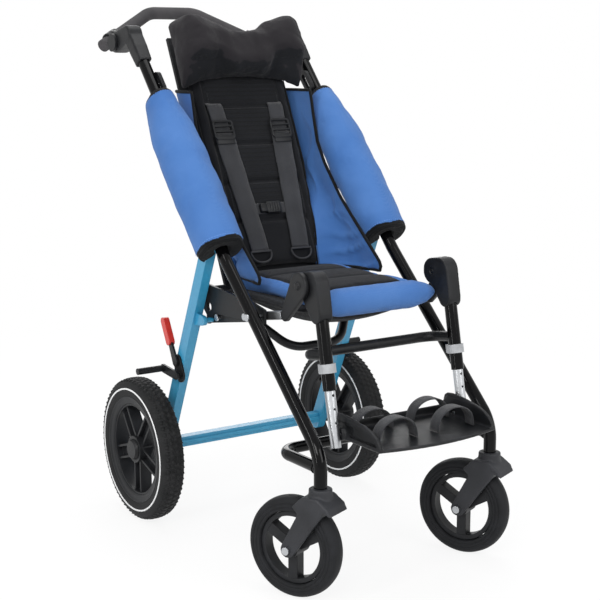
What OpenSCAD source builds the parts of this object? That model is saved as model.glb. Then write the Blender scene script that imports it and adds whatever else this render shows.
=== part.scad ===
// Special needs buggy: a folding A-frame pushchair with a padded seat, headrest and adjustable footrest.
// X runs across, with the seated child's left at +X. Forward is -Y, up is +Z, and the floor is z = 0.

/* [Overall] */
// Distance from the caster stems back to the rear axle
wheelbase = 600; // [560:1:660]
// Distance of the caster stems ahead of the middle of the object
stem_setback = 412.5; // [395:0.5:435]
// Width between the middles of the two front tubes
frame_w = 406; // [390:1:430]
// Gap between each rear leg and the tyre beside it
wheel_gap = 21.5; // [18:0.5:40]

/* [Front tubes] */
// Diameter of the front tubes
tube_d = 25; // [23:0.5:28]
// Wall of the steel tubes
tube_wall = 2; // [1.5:0.1:3]
// Height of the lower end of each tube
tube_end_z = 219; // [217:1:226]
// Height of the corner where the tube turns down to the caster
foot_z = 277; // [270:1:290]
// Height of the slight knee in the tube
knee_z = 588; // [570:1:600]
// Height of the upper end of the tube
tube_top_z = 990; // [960:1:1040]
// Lean of the tube below the knee, from upright
lower_lean = 46.3; // [44:0.1:48]
// Lean of the tube above the knee, from upright
upper_lean = 41.2; // [39:0.1:43]
// Radius of the bend above the caster
foot_bend_r = 80; // [60:1:90]
// Radius of the bend at the knee
knee_bend_r = 150; // [120:1:200]
// Diameter of the cross bar low between the front tubes
cross_bar_d = 22; // [18:0.5:24]
// Height of that cross bar
cross_bar_z = 254; // [246:1:262]
// Distance that it loops back behind the stems
cross_bar_back = 140; // [110:1:160]

/* [Rear legs] */
// Height of the folding pivot of the rear legs
leg_pivot_z = 621; // [610:1:640]
// Distance of that pivot behind the middle of the front tube
leg_pivot_gap = 30; // [28:0.5:36]
// Depth of the oval leg tube, front to back
leg_depth = 30; // [26:0.5:31]
// Thickness of the leg tube across
leg_t = 20; // [16:0.5:22]
// Height of the rear crossbar, top to bottom
crossbar_h = 22; // [16:0.5:26]
// Height of the pin on the leg that the seat hooks on
hook_z = 458; // [452:1:464]
// Distance of that pin ahead of the middle of the leg
hook_reach = 41; // [36:1:46]

/* [Rear wheels] */
// Outer diameter of the rear tyre
rear_wheel_d = 310; // [290:1:320]
// Width of the rear tyre
rear_tyre_w = 53; // [44:1:56]
// Diameter of the tyre's seat on the rim
rear_rim_d = 216; // [206:1:224]
// Number of double spokes
rear_spokes = 5; // [3:1:7]
// Diameter of the rear axle
axle_d = 12; // [10:0.5:14]

/* [Casters] */
// Outer diameter of the caster wheel
caster_d = 195; // [180:1:200]
// Width of the caster tyre
caster_w = 37; // [30:1:40]
// Diameter of the tyre's seat on the caster rim
caster_rim_d = 138; // [128:1:146]
// Number of caster spokes
caster_spokes = 3; // [3:1:5]
// Distance of the caster axle behind its stem
trail = 54; // [48:1:58]
// Angle that both casters are swivelled to
caster_swivel = 23.5; // [0:0.5:30]
// Diameter of the swivel stem
stem_d = 12; // [10:0.5:14]

/* [Push handle] */
// Diameter of the handle grip
grip_d = 28; // [26:0.5:32]
// Diameter of the steel bar inside the grip
push_bar_d = 22; // [18:0.5:23]
// Half the straight middle of the handle
handle_mid_half = 58; // [50:1:80]
// Half the width across the ends of the handle
handle_end_half = 206; // [200:1:215]
// Distance of the handle's ends behind its pivot
handle_end_back = 76; // [70:1:90]
// Distance of the handle's middle behind its ends
handle_rise_back = 70; // [50:1:90]
// Height of the handle's middle above its ends
handle_rise = 73; // [50:1:90]
// Distance of the handle pivot beyond the tube's end, along the tube
handle_pivot_up = 83; // [76:1:95]
// Distance of the handle pivot behind the tube's line
handle_pivot_back = 53; // [48:1:60]

/* [Seat] */
// Height of the flat top of the seat sling
sling_z = 518; // [514:1:524]
// Half the width of the seat cushion
seat_half_w = 134; // [120:1:135]
// Thickness of the seat cushion at its edges
seat_edge_t = 27; // [22:1:30]
// Extra height of the cushion's crown
seat_crown = 10; // [4:1:12]
// Radius of the padded front roll
roll_r = 31; // [26:1:33]
// Distance of the front roll's middle ahead of the back pivot
roll_reach = 348; // [340:1:360]
// Square of the outer seat rail
rail_sq = 22; // [20:0.5:24]
// Square of the sliding inner rail
inner_sq = 16; // [13:0.5:17]
// Slope of the seat rails, rising to the front
rail_slope = 10; // [8:0.5:12]
// Distance between the middles of the two rails
rail_spacing = 340; // [338:1:344]

/* [Backrest] */
// Height of the back pivot
back_pivot_z = 512; // [508:1:516]
// Distance of the back pivot behind the middle of the object
back_pivot_y = 47.5; // [44:0.5:51]
// Lean of the back from upright
back_lean = 25; // [20:1:28]
// Length of the back board above its pivot
back_len = 565; // [520:1:580]
// Half the width of the back board
back_half_w = 132; // [120:1:138]
// Thickness of the back cushion at its edges
back_edge_t = 24; // [18:1:28]
// Extra thickness of the back cushion's crown
back_crown = 8; // [4:1:10]
// Number of quilted rows down the back
back_rows = 6; // [4:1:8]
// Radius of the padded side bolsters
bolster_r = 50; // [40:1:50]
// Length of the side bolsters
bolster_len = 390; // [340:1:420]
// Half the width of the headrest
head_half_w = 145; // [130:1:146]
// Height of the headrest at its middle
head_mid_h = 102; // [90:1:120]
// Thickness of the headrest at its middle
head_mid_t = 66; // [50:1:80]

/* [Footrest] */
// Distance between the middles of the two hangers
hanger_spacing = 306; // [304:1:310]
// Diameter of the outer hanger tube
hanger_d = 25; // [23:0.5:26]
// Diameter of the silver foot tube
foot_tube_d = 20; // [18:0.5:20.5]
// Lean of the hangers from upright
hanger_lean = 11.3; // [8:0.1:14]
// Height of the knee joint
knee_joint_z = 572; // [566:1:578]
// Distance of the knee joint ahead of the back pivot
knee_joint_reach = 348; // [342:1:354]
// Distance of the hanger's line ahead of the knee joint
hanger_reach = 31; // [27:1:35]
// Height of the footplate's top
footplate_z = 298; // [292:1:310]
// Half the width of the footplate
footplate_half_w = 136; // [120:1:137]
// Length of the footplate
footplate_len = 150; // [130:1:170]
// Height of the side wings above the footplate
wing_h = 38; // [25:1:45]

/* [Hidden] */
$fn = 64;
left = 1;
right = -1;
// Shared fits
cut = 1;
run_gap = 0.05;
seat_gap = 0.3;
weld_gap = 0.1;
side_gap = 0.5;
soft_fn = 40;
flat_inset = 0.02;
bend_bite = 0.5;
bend_swell = 0.2;

// Frame places
tube_x = frame_w / 2;
stem_y = -stem_setback;
axle_y = stem_y + wheelbase;
axle_z = rear_wheel_d / 2;
knee_y = stem_y + (knee_z - foot_z) * tan(lower_lean);
top_y = knee_y + (tube_top_z - knee_z) * tan(upper_lean);
function upper_y(z) = knee_y + (z - knee_z) * tan(upper_lean);
function lower_y(z) = stem_y + (z - foot_z) * tan(lower_lean);
up_dir = [sin(upper_lean), cos(upper_lean)];
rear_dir = [cos(upper_lean), -sin(upper_lean)];
tube_route = [
    [tube_x, stem_y, tube_end_z],
    [tube_x, stem_y, foot_z],
    [tube_x, knee_y, knee_z],
    [tube_x, top_y, tube_top_z]
];
tube_bends = [foot_bend_r, knee_bend_r];
bush_h = 20;
tube_bore = tube_d - 2 * tube_wall;

// Rear leg places
leg_tube_z = leg_pivot_z + leg_pivot_gap * sin(upper_lean);
leg_pivot_y = upper_y(leg_tube_z) + leg_pivot_gap * cos(upper_lean);
leg_pivot = [leg_pivot_y, leg_pivot_z];
leg_foot = [axle_y, axle_z];
leg_dir = (leg_foot - leg_pivot) / norm(leg_foot - leg_pivot);
leg_x0 = tube_x - leg_t / 2;
leg_x1 = tube_x + leg_t / 2;
function leg_y(z) = leg_pivot_y + (leg_pivot_z - z) * leg_dir[0] / -leg_dir[1];
hook_pin = [leg_y(hook_z) - hook_reach, hook_z];
pivot_pin_d = 10;
hook_pin_d = 10;
ear_t = 5;

// Seat places
rail_x = rail_spacing / 2;
rail_dir = [-cos(rail_slope), sin(rail_slope)];
rail_pin_share = 0.2;
rail_pin = [hook_pin[0], hook_pin[1] + rail_sq * rail_pin_share];
rail_rear_run = 18;
rail_front_run = 172;
plate_t = 6;
plate_x0 = rail_x + rail_sq / 2 + seat_gap;
plate_x1 = plate_x0 + plate_t;
bolt_d = 8;
bolt_head_d = 14;
bolt_head_h = 3;
back_pivot = [back_pivot_y, back_pivot_z];
roll_y = back_pivot_y - roll_reach;
roll_lift = 13;
roll_z = sling_z + roll_lift;
seat_rear_gap = 24;
seat_rear_y = back_pivot_y - seat_rear_gap;
seat_front_y = roll_y + roll_r + seat_gap;
seat_len = seat_rear_y - seat_front_y;
sling_front_y = roll_y + sqrt(roll_r * roll_r - roll_lift * roll_lift) + seat_gap;
knee_joint = [back_pivot_y - knee_joint_reach, knee_joint_z];

// Axis of a rail at a distance ahead of the hook pin
function rail_at(run) = rail_pin + rail_dir * run;

// Unit vector along v
function unit(v) = v / norm(v);
// Angle turned between two unit vectors
function turn_between(a, b) = acos(max(-1, min(1, a * b)));
// Steps from 0 to 1
function steps(n) = [for (i = [0 : n]) i / n];

// Solid between two x values, from a side view drawn as (y, z)
module side_slab(x0, x1) {
    translate([x0, 0, 0]) rotate([90, 0, 90]) linear_extrude(x1 - x0) children();
}

// Round bar across, between two x values
module peg_x(x0, x1, at, d) {
    translate([x0, at[0], at[1]]) rotate([0, 90, 0]) cylinder(d = d, h = x1 - x0);
}

// Link across, between two x values: two round ends and flats a hair inside their tangents
module side_link(x0, x1, p, rp, q, rq) {
    span = q - p;
    base = atan2(span[1], span[0]);
    off = acos((rp - rq) / norm(span));
    flat_p = rp - flat_inset;
    flat_q = rq - flat_inset;
    union() {
        peg_x(x0, x1, p, 2 * rp);
        peg_x(x0, x1, q, 2 * rq);
        side_slab(x0, x1) polygon([
            p + flat_p * [cos(base + off), sin(base + off)],
            q + flat_q * [cos(base + off), sin(base + off)],
            q + flat_q * [cos(base - off), sin(base - off)],
            p + flat_p * [cos(base - off), sin(base - off)]
        ]);
    }
}

// Places children with their z axis along dir at p, and their y axis as near to up as it can be
module along(p, dir, up = [1, 0, 0]) {
    w = unit(dir);
    v = unit(up - w * (up * w));
    u = cross(v, w);
    multmatrix([
        [u[0], v[0], w[0], p[0]],
        [u[1], v[1], w[1], p[1]],
        [u[2], v[2], w[2], p[2]],
        [0, 0, 0, 1]
    ]) children();
}

// Solid round bar along a flat route, with a bend radius for each inner corner. The bends are a hair
// fatter than the straights, which reach a little way into them. Both ends can be drawn out.
module bent_bar(route, d, bends, draw_out = 0) {
    last = len(route) - 1;
    dirs = [for (i = [0 : last - 1]) unit(route[i + 1] - route[i])];
    turns = [for (i = [0 : last]) i == 0 || i == last ? 0 : turn_between(dirs[i - 1], dirs[i])];
    trims = [for (i = [0 : last]) i == 0 || i == last ? draw_out : bends[i - 1] * tan(turns[i] / 2) - bend_bite];
    flat = unit(cross(dirs[0], dirs[1]));
    for (i = [0 : last - 1]) {
        start = route[i] + dirs[i] * (i == 0 ? -trims[i] : trims[i]);
        end = route[i + 1] - dirs[i] * (i == last - 1 ? -trims[last] : trims[i + 1]);
        along(start, dirs[i], flat) cylinder(d = d, h = norm(end - start));
    }
    for (i = [1 : last - 1]) {
        inward = unit(dirs[i] - dirs[i - 1] * (dirs[i] * dirs[i - 1]));
        start = route[i] - dirs[i - 1] * (trims[i] + bend_bite);
        mid = start + inward * bends[i - 1];
        axis = cross(-inward, dirs[i - 1]);
        multmatrix([
            [-inward[0], dirs[i - 1][0], axis[0], mid[0]],
            [-inward[1], dirs[i - 1][1], axis[1], mid[1]],
            [-inward[2], dirs[i - 1][2], axis[2], mid[2]],
            [0, 0, 0, 1]
        ]) rotate_extrude(angle = turns[i]) translate([bends[i - 1], 0]) circle(d = d + bend_swell);
    }
}

// Repeats children on one side of the middle plane
module on_side(side) {
    if (side == right) mirror([1, 0, 0]) children();
    else children();
}

// Repeats children on both sides of the middle plane
module on_both() {
    children();
    mirror([1, 0, 0]) children();
}

// Triangles of a grid whose points run u first, with (nu + 1) points in a row
function grid_faces(nu, nv, first, flip) = [
    for (j = [0 : nv - 1], i = [0 : nu - 1])
        let (a = first + j * (nu + 1) + i, b = a + 1, c = a + nu + 2, d = a + nu + 1)
        each flip ? [[a, c, b], [a, d, c]] : [[a, b, c], [a, c, d]]
];

// Triangles that join the rims of two such grids
function rim_faces(nu, nv, low) =
    let (row = nu + 1, rim = concat(
        [for (i = [0 : nu - 1]) i],
        [for (j = [0 : nv - 1]) j * row + nu],
        [for (i = [nu : -1 : 1]) nv * row + i],
        [for (j = [nv : -1 : 1]) j * row]
    ), n = len(rim))
    [for (k = [0 : n - 1])
        let (a = rim[k], b = rim[(k + 1) % n])
        each [[a, b, a + low], [b, b + low, a + low]]];

// Closed form from two matching grids of points
module grid_solid(upper, lower, nu, nv) {
    low = (nu + 1) * (nv + 1);
    polyhedron(
        points = concat(upper, lower),
        faces = concat(grid_faces(nu, nv, 0, true), grid_faces(nu, nv, low, false), rim_faces(nu, nv, low))
    );
}

// Cushion with a flat back at z = 0, drawn-in sides, a crown and sewn channels across
module cushion(w, len, edge_t, crown, draw, rows, channel) {
    nu = 12;
    nv = rows * 4;
    function plan(u, v) = [
        u * (w / 2 - draw * (1 - v * v)),
        len / 2 + v * (len / 2 - draw * (1 - u * u))
    ];
    function top(u, v) = edge_t + crown * (1 - pow(u, 4)) * (1 - pow(v, 4))
        - channel * pow(abs(cos(90 * rows * (v + 1))), 6) * (1 - pow(u, 6));
    spots = [for (t = steps(nv), s = steps(nu)) [2 * s - 1, 2 * t - 1]];
    grid_solid(
        [for (p = spots) concat(plan(p[0], p[1]), [top(p[0], p[1])])],
        [for (p = spots) concat(plan(p[0], p[1]), [0])],
        nu, nv
    );
}

// Padded roll along z, fat in the middle and drawn in at both ends
module padded_roll(r, len, end_share) {
    points = 14;
    function swell(t) = r * (end_share + (1 - end_share) * pow(1 - pow(2 * t - 1, 6), 0.5));
    rotate_extrude($fn = soft_fn) polygon(concat(
        [[0, 0]],
        [for (t = steps(points)) [swell(t), t * len]],
        [[0, len]]
    ));
}

// Front tubes, the lower cross bar and what is fixed to them

// Ears behind each front tube that hold the folding pivot
module leg_ears() {
    ear_gap = 1;
    ear_share = 0.4;
    ear_r = tube_d * ear_share;
    tube_point = [upper_y(leg_tube_z), leg_tube_z] + rear_dir * ear_r;
    for (x = [leg_x0 - ear_gap - ear_t, leg_x1 + ear_gap])
        side_link(x, x + ear_t, tube_point, ear_r, leg_pivot, pivot_pin_d);
}

module front_tube(side) color("#17181a") on_side(side) difference() {
    union() {
        bent_bar(tube_route, tube_d, tube_bends);
        leg_ears();
    }
    bent_bar(tube_route, tube_bore, tube_bends, cut);
    peg_x(0, frame_w, leg_pivot, pivot_pin_d + run_gap);
    peg_x(0, frame_w, plate_bolt, bolt_d + run_gap);
}

cross_bar_route = [
    [tube_x, stem_y, cross_bar_z],
    [tube_x, stem_y + cross_bar_back, cross_bar_z],
    [-tube_x, stem_y + cross_bar_back, cross_bar_z],
    [-tube_x, stem_y, cross_bar_z]
];
cross_bend_r = 38;

module lower_cross_bar() color("#17181a") difference() {
    bent_bar(cross_bar_route, cross_bar_d, [cross_bend_r, cross_bend_r]);
    on_both() bent_bar(tube_route, tube_d + 2 * weld_gap, tube_bends);
    bent_bar(cross_bar_route, cross_bar_d - 2 * tube_wall, [cross_bend_r, cross_bend_r], cut);
}

module stem_bushes() color("#8c8f94") on_both() translate([tube_x, stem_y, tube_end_z]) difference() {
    cylinder(d = tube_bore - 2 * run_gap, h = bush_h);
    translate([0, 0, -cut]) cylinder(d = stem_d + 2 * run_gap, h = bush_h + 2 * cut);
}

// Handle bracket: a socket on the tube's end with an arm back to the handle pivot
bracket_w = 34;
socket_depth = 32;
elbow_r = 19;
socket_down = 38;
socket_up = 60;
pivot_r = 22;
clamp_r = 20;
handle_pin_d = 10;
tube_top = [top_y, tube_top_z];
handle_pivot = tube_top + up_dir * handle_pivot_up + rear_dir * handle_pivot_back;
bracket_x0 = tube_x - bracket_w / 2;
bracket_x1 = tube_x + bracket_w / 2;

module handle_brackets() color("#3a3b3e") on_both() difference() {
    elbow = tube_top + up_dir * socket_up;
    union() {
        side_link(bracket_x0, bracket_x1, elbow, elbow_r, handle_pivot, pivot_r);
        along([tube_x, tube_top[0] - up_dir[0] * socket_down, tube_top[1] - up_dir[1] * socket_down],
            [0, up_dir[0], up_dir[1]])
            translate([-socket_depth / 2, -bracket_w / 2 + cut, 0])
                cube([socket_depth, bracket_w - 2 * cut, socket_down + socket_up]);
    }
    along([tube_x, tube_top[0] - up_dir[0] * (socket_down + cut), tube_top[1] - up_dir[1] * (socket_down + cut)],
        [0, up_dir[0], up_dir[1]])
        cylinder(d = tube_d + 2 * run_gap, h = socket_down + cut);
    peg_x(bracket_x0 - cut, bracket_x1 + cut, handle_pivot, handle_pin_d + run_gap);
}

// Round push button over each handle pivot, with the pin behind it
button_d = 38;
button_t = 6;
clamp_t = 12;
clamp_x1 = bracket_x0 - seat_gap;
clamp_x0 = clamp_x1 - clamp_t;

module handle_buttons() color("#232426") on_both() {
    peg_x(bracket_x1 + weld_gap, bracket_x1 + weld_gap + button_t, handle_pivot, button_d);
    peg_x(clamp_x0, bracket_x1 + weld_gap + cut, handle_pivot, handle_pin_d);
}

// Plastic loop on the inside of each tube for the strap of the back
anchor_down = 40;
anchor_half = 15;
anchor_r = 14;
anchor_slot_r = 5;
anchor_t = 8;

module strap_anchors() color("#232426") on_both() {
    mid = tube_top - up_dir * (socket_down + anchor_down);
    x1 = tube_x - tube_d / 2 - weld_gap;
    low = mid - up_dir * anchor_half;
    high = mid + up_dir * anchor_half;
    difference() {
        side_link(x1 - anchor_t, x1, low, anchor_r, high, anchor_r);
        side_link(x1 - anchor_t - cut, x1 + cut, low, anchor_slot_r, high, anchor_slot_r);
    }
}

// Padded bolster wrapped round each front tube, slit behind its lower end for the leg
bolster_start = 32;
bolster_end_share = 0.62;
slit_len = 118;
slit_spare = 9;

module bolster(side) color("#4a7cc8") on_side(side) difference() {
    along([tube_x, knee_y + up_dir[0] * bolster_start, knee_z + up_dir[1] * bolster_start],
        [0, up_dir[0], up_dir[1]]) difference() {
        padded_roll(bolster_r, bolster_len, bolster_end_share);
        translate([0, 0, -cut]) cylinder(d = tube_d + 2 * seat_gap, h = bolster_len + 2 * cut);
    }
    slit_w = leg_t + 2 * ear_t + 2 * slit_spare;
    along([tube_x, knee_y, knee_z], [0, up_dir[0], up_dir[1]])
        translate([-2 * bolster_r, -slit_w / 2, 0]) cube([2 * bolster_r, slit_w, slit_len]);
}

// Seat: rails, side plates, sling, cushion and front roll

module square_bar(x, run0, run1, sq) {
    along([x, rail_at(run0)[0], rail_at(run0)[1]], [0, rail_dir[0], rail_dir[1]])
        translate([-sq / 2, -sq / 2, 0]) cube([sq, sq, run1 - run0]);
}

rail_bolt_runs = [30, 140];

module seat_rails() color("#1d1e20") on_both() difference() {
    square_bar(rail_x, -rail_rear_run, rail_front_run, rail_sq);
    square_bar(rail_x, -rail_rear_run - cut, rail_front_run + cut, inner_sq + 2 * run_gap);
    for (run = rail_bolt_runs)
        peg_x(rail_x, plate_x1, rail_at(run), bolt_d + run_gap);
    peg_x(rail_x - rail_sq, rail_x, release_pivot, release_d + 2 * run_gap);
}

// Side plate: carries the rail, the sling and the back pivot, and hooks on the leg's pin
plate_bolt_z = 497;
plate_bolt = [lower_y(plate_bolt_z), plate_bolt_z];
plate_edge = 14;
hook_lip = 9;
hook_lead = 20;
hook_rise = 16;

module seat_side_plates() color("#26272a") on_both() difference() {
    side_slab(plate_x0, plate_x1) difference() {
        polygon([
            plate_bolt + [-plate_edge, -plate_edge],
            plate_bolt + [-plate_edge, plate_edge],
            [plate_bolt[0] + 2 * plate_edge, sling_z + cut],
            [back_pivot_y - plate_edge, sling_z + plate_edge],
            [back_pivot_y + plate_edge, back_pivot_z + plate_edge],
            [back_pivot_y + plate_edge, back_pivot_z - plate_edge],
            hook_pin + [hook_pin_d / 2 + hook_lip, hook_lip],
            hook_pin + [hook_pin_d / 2 + hook_lip, -hook_lip],
            hook_pin + [hook_pin_d / 2 + seat_gap, -hook_lip],
            hook_pin + [hook_pin_d / 2 + seat_gap, hook_pin_d / 2 + seat_gap],
            hook_pin + [-hook_pin_d / 2, hook_pin_d / 2 + seat_gap],
            hook_pin + [-hook_lead, hook_rise]
        ]);
        circle_window();
    }
    peg_x(0, frame_w, plate_bolt, bolt_d + run_gap);
    peg_x(0, frame_w, back_pivot, bolt_d + run_gap);
    for (run = rail_bolt_runs)
        peg_x(0, frame_w, rail_at(run), bolt_d + run_gap);
}

// Lightening window in the side plate
module circle_window() {
    window_r = 9;
    window_at = (hook_pin + back_pivot) / 2 + [-plate_edge, 0];
    translate(window_at) circle(window_r);
}

// Bolts and pins of the frame, all along X
module bolt(x_head, x_end, at, d, head_d, head_h) {
    peg_x(x_end, x_head, at, d);
    peg_x(x_head, x_head + head_h, at, head_d);
}

module frame_bolts() color("#b9bcc0") on_both() {
    bolt(leg_x1 + ear_t + cut + weld_gap, leg_x0 - 2 * ear_t, leg_pivot, pivot_pin_d, bolt_head_d, bolt_head_h);
    bolt(max(tube_x + tube_d / 2, plate_x1) + weld_gap, plate_x0, plate_bolt, bolt_d, bolt_head_d, bolt_head_h);
    bolt(plate_x1 + weld_gap, rail_x - rail_sq / 2 - rail_sq, back_pivot, bolt_d, bolt_head_d, bolt_head_h);
    for (run = rail_bolt_runs)
        bolt(plate_x1 + weld_gap, rail_x + inner_sq / 2 + side_gap, rail_at(run), bolt_d, bolt_head_d, bolt_head_h);
}

// Fabric sling under the seat: flat on top, sagging below, with flaps out to the side plates
seat_rows = 3;
sling_edge_t = 4;
sling_sag = 24;
sling_half_w = 150;
flap_rear = 30;
flap_front = 150;

module seat_sling() color("#202124") {
    translate([0, seat_rear_y, sling_z]) rotate([180, 0, 0])
        cushion(2 * sling_half_w, seat_rear_y - sling_front_y, sling_edge_t, sling_sag, 0, seat_rows, 0);
    on_both() translate([sling_half_w - sling_edge_t, seat_rear_y - flap_front, sling_z - sling_edge_t])
        cube([plate_x0 - weld_gap - sling_half_w + sling_edge_t, flap_front - flap_rear, sling_edge_t]);
}

seat_draw = 4;
seat_channel = 4;

module seat_cushion() color("#26272b") translate([0, seat_front_y, sling_z + seat_gap])
    cushion(2 * seat_half_w, seat_len, seat_edge_t, seat_crown, seat_draw, seat_rows, seat_channel);

roll_half_len = 132;
roll_end_share = 0.7;

module seat_front_roll() color("#4a7cc8") translate([-roll_half_len, roll_y, roll_z]) rotate([0, 90, 0])
    padded_roll(roll_r, 2 * roll_half_len, roll_end_share);

// Blue gusset between the back and each bolster, down to the side of the seat
panel_t = 6;
panel_top_z = 915;
panel_low_z = 552;
panel_front_gap = 16;
panel_rear_in = 8;

function back_y(z) = back_pivot_y + (z - back_pivot_z) * tan(back_lean);

module side_panel(side) color("#4374be") on_side(side) {
    x1 = tube_x - bolster_r - seat_gap;
    side_slab(x1 - panel_t, x1) polygon([
        [upper_y(panel_top_z) - panel_front_gap, panel_top_z],
        [upper_y(knee_z) - panel_front_gap, knee_z],
        [upper_y(knee_z) - 2 * panel_front_gap, panel_low_z],
        [back_y(panel_low_z) - panel_rear_in, panel_low_z],
        [back_y(panel_top_z) - panel_rear_in, panel_top_z]
    ]);
}

// Rear legs, crossbar, axles and brakes

lug_t = 8;

module rear_leg(side) color("#2f9ccf") on_side(side) difference() {
    wall_r = leg_depth / 2 - tube_wall;
    foot_end = leg_foot + leg_dir * leg_depth / 2;
    union() {
        side_link(leg_x0, leg_x1, leg_pivot, leg_depth / 2, foot_end, leg_depth / 2);
        side_link(tube_x - lug_t / 2, tube_x + lug_t / 2, [leg_y(hook_z), hook_z], leg_depth / 2, hook_pin, hook_pin_d);
        peg_x(plate_x0, tube_x, hook_pin, hook_pin_d);
    }
    side_link(leg_x0 + tube_wall, leg_x1 - tube_wall, leg_pivot + leg_dir * 2 * leg_depth, wall_r, leg_foot - leg_dir * 2 * leg_depth, wall_r);
    peg_x(0, frame_w, leg_pivot, pivot_pin_d + 2 * run_gap);
    peg_x(0, frame_w, leg_foot, axle_d + run_gap);
}

ridge_share = 0.35;

module rear_crossbar() color("#2f9ccf") {
    half = leg_x0 - weld_gap;
    depth = crossbar_h;
    translate([-half, axle_y - depth / 2, axle_z - crossbar_h / 2]) cube([2 * half, depth, crossbar_h]);
    ridge = crossbar_h * ridge_share;
    translate([-half, axle_y - depth / 2 - ridge / 2, axle_z - ridge / 2]) cube([2 * half, depth, ridge]);
}

rear_x = leg_x1 + wheel_gap + rear_tyre_w / 2;
hub_half = 20;
hub_d = 58;
axle_proud = 2;
axle_end = rear_x + hub_half + axle_proud;

module rear_axles() color("#b9bcc0") on_both() {
    peg_x(leg_x0 + cut, axle_end, leg_foot, axle_d);
    peg_x(leg_x1 + weld_gap, rear_x - hub_half - seat_gap, leg_foot, axle_d + 2 * tube_wall);
}

// Rear tyre: a round section seated on the rim
module tyre(od, w, seat_d) {
    difference() {
        rotate_extrude() translate([od / 2 - w / 2, 0]) circle(w / 2);
        translate([0, 0, -w]) cylinder(d = seat_d, h = 2 * w);
    }
}

module rear_tyre(side) color("#1b1c1e") translate([side * rear_x, axle_y, axle_z]) rotate([0, 90, 0])
    tyre(rear_wheel_d, rear_tyre_w, rear_rim_d);

// Moulded rim: hub, outer ring and pairs of ribs for spokes
rim_ring_t = 13;
rim_half = 17;
spoke_rib_t = 5;
spoke_pair_w = 26;
spoke_half = 13;
rim_fit = 0.05;

module rear_rim(side) color("#33353a") translate([side * rear_x, axle_y, axle_z]) rotate([0, 90, 0]) difference() {
    ring_r = rear_rim_d / 2 - rim_fit;
    union() {
        difference() {
            translate([0, 0, -rim_half]) cylinder(r = ring_r, h = 2 * rim_half);
            translate([0, 0, -rim_half - cut]) cylinder(r = ring_r - rim_ring_t, h = 2 * (rim_half + cut));
        }
        translate([0, 0, -hub_half]) cylinder(d = hub_d, h = 2 * hub_half);
        for (i = [0 : rear_spokes - 1], s = [-1, 1])
            rotate(i * 360 / rear_spokes)
                translate([hub_d / 4, s * spoke_pair_w / 2 - spoke_rib_t / 2, -spoke_half])
                    cube([ring_r - rim_ring_t / 2 - hub_d / 4, spoke_rib_t, 2 * spoke_half]);
        for (i = [0 : rear_spokes - 1])
            rotate(i * 360 / rear_spokes)
                translate([hub_d / 4, -spoke_pair_w / 2, -spoke_rib_t / 2])
                    cube([ring_r - rim_ring_t / 2 - hub_d / 4, spoke_pair_w, spoke_rib_t]);
    }
    translate([0, 0, -hub_half - cut]) cylinder(d = axle_d + 2 * run_gap, h = 2 * (hub_half + cut));
}

hub_cap_d = 46;
hub_cap_t = 7;

module rear_hub_cap(side) color("#2a2b2f") on_side(side) translate([rear_x + hub_half + weld_gap, axle_y, axle_z])
    rotate([0, 90, 0]) difference() {
        cylinder(d1 = hub_cap_d, d2 = hub_cap_d - hub_cap_t, h = hub_cap_t);
        translate([0, 0, -cut]) cylinder(d = axle_d + 4 * cut, h = axle_end - rear_x - hub_half + 2 * cut);
    }

// Brakes: a clamp on each leg, a lever with a red grip, and a shoe bar over the tyre
brake_plate_t = 4;
lever_t = 5;
brake_pin_d = 8;
shoe_pivot_z = 330;
lever_pivot_z = 356;
shoe_ahead = 18;
lever_behind = 6;
shoe_pivot = [leg_y(shoe_pivot_z) - shoe_ahead, shoe_pivot_z];
lever_pivot = [leg_y(lever_pivot_z) + lever_behind, lever_pivot_z];
shoe_arm = [57, 5];
grip_arm = [43, 81];
shoe_bar_d = 14;
clamp_plate_x = leg_x1 + weld_gap;
lever_x0 = clamp_plate_x + brake_plate_t + side_gap;
lever_x1 = lever_x0 + lever_t;
shoe_x0 = lever_x1 + side_gap;
shoe_x1 = shoe_x0 + lever_t;

module brake_clamps() color("#222326") on_both() {
    side_link(clamp_plate_x, clamp_plate_x + brake_plate_t, shoe_pivot, 2 * brake_pin_d, lever_pivot, 2 * brake_pin_d);
    peg_x(clamp_plate_x + cut, lever_x1, lever_pivot, brake_pin_d);
    peg_x(clamp_plate_x + cut, shoe_x1, shoe_pivot, brake_pin_d);
}

lever_r = 9;
shank_r = 4;

module brake_lever(side) color("#222326") on_side(side) difference() {
    side_link(lever_x0, lever_x1, lever_pivot, lever_r, lever_pivot + grip_arm, shank_r);
    peg_x(0, frame_w, lever_pivot, brake_pin_d + 2 * run_gap);
}

grip_r = 8;
grip_side = 4;
grip_start_share = 0.5;

module brake_grip(side) color("#c8281e") on_side(side) difference() {
    side_link(lever_x0 - grip_side, lever_x1 + grip_side, lever_pivot + grip_arm * grip_start_share, grip_r, lever_pivot + grip_arm, grip_r);
    side_link(lever_x0 - run_gap, lever_x1 + run_gap, lever_pivot, lever_r + run_gap, lever_pivot + grip_arm, shank_r + run_gap);
}

module brake_shoe(side) color("#222326") on_side(side) difference() {
    shoe_at = shoe_pivot + shoe_arm;
    union() {
        side_link(shoe_x0, shoe_x1, shoe_pivot, lever_r, shoe_at, lever_r);
        peg_x(shoe_x0, rear_x + rear_tyre_w / 2, shoe_at, shoe_bar_d);
    }
    peg_x(0, frame_w, shoe_pivot, brake_pin_d + 2 * run_gap);
}

// Casters: built about their stem, trailing to +Y, then swivelled

module at_caster(side) translate([side * tube_x, stem_y, 0]) rotate(caster_swivel) children();

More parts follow.
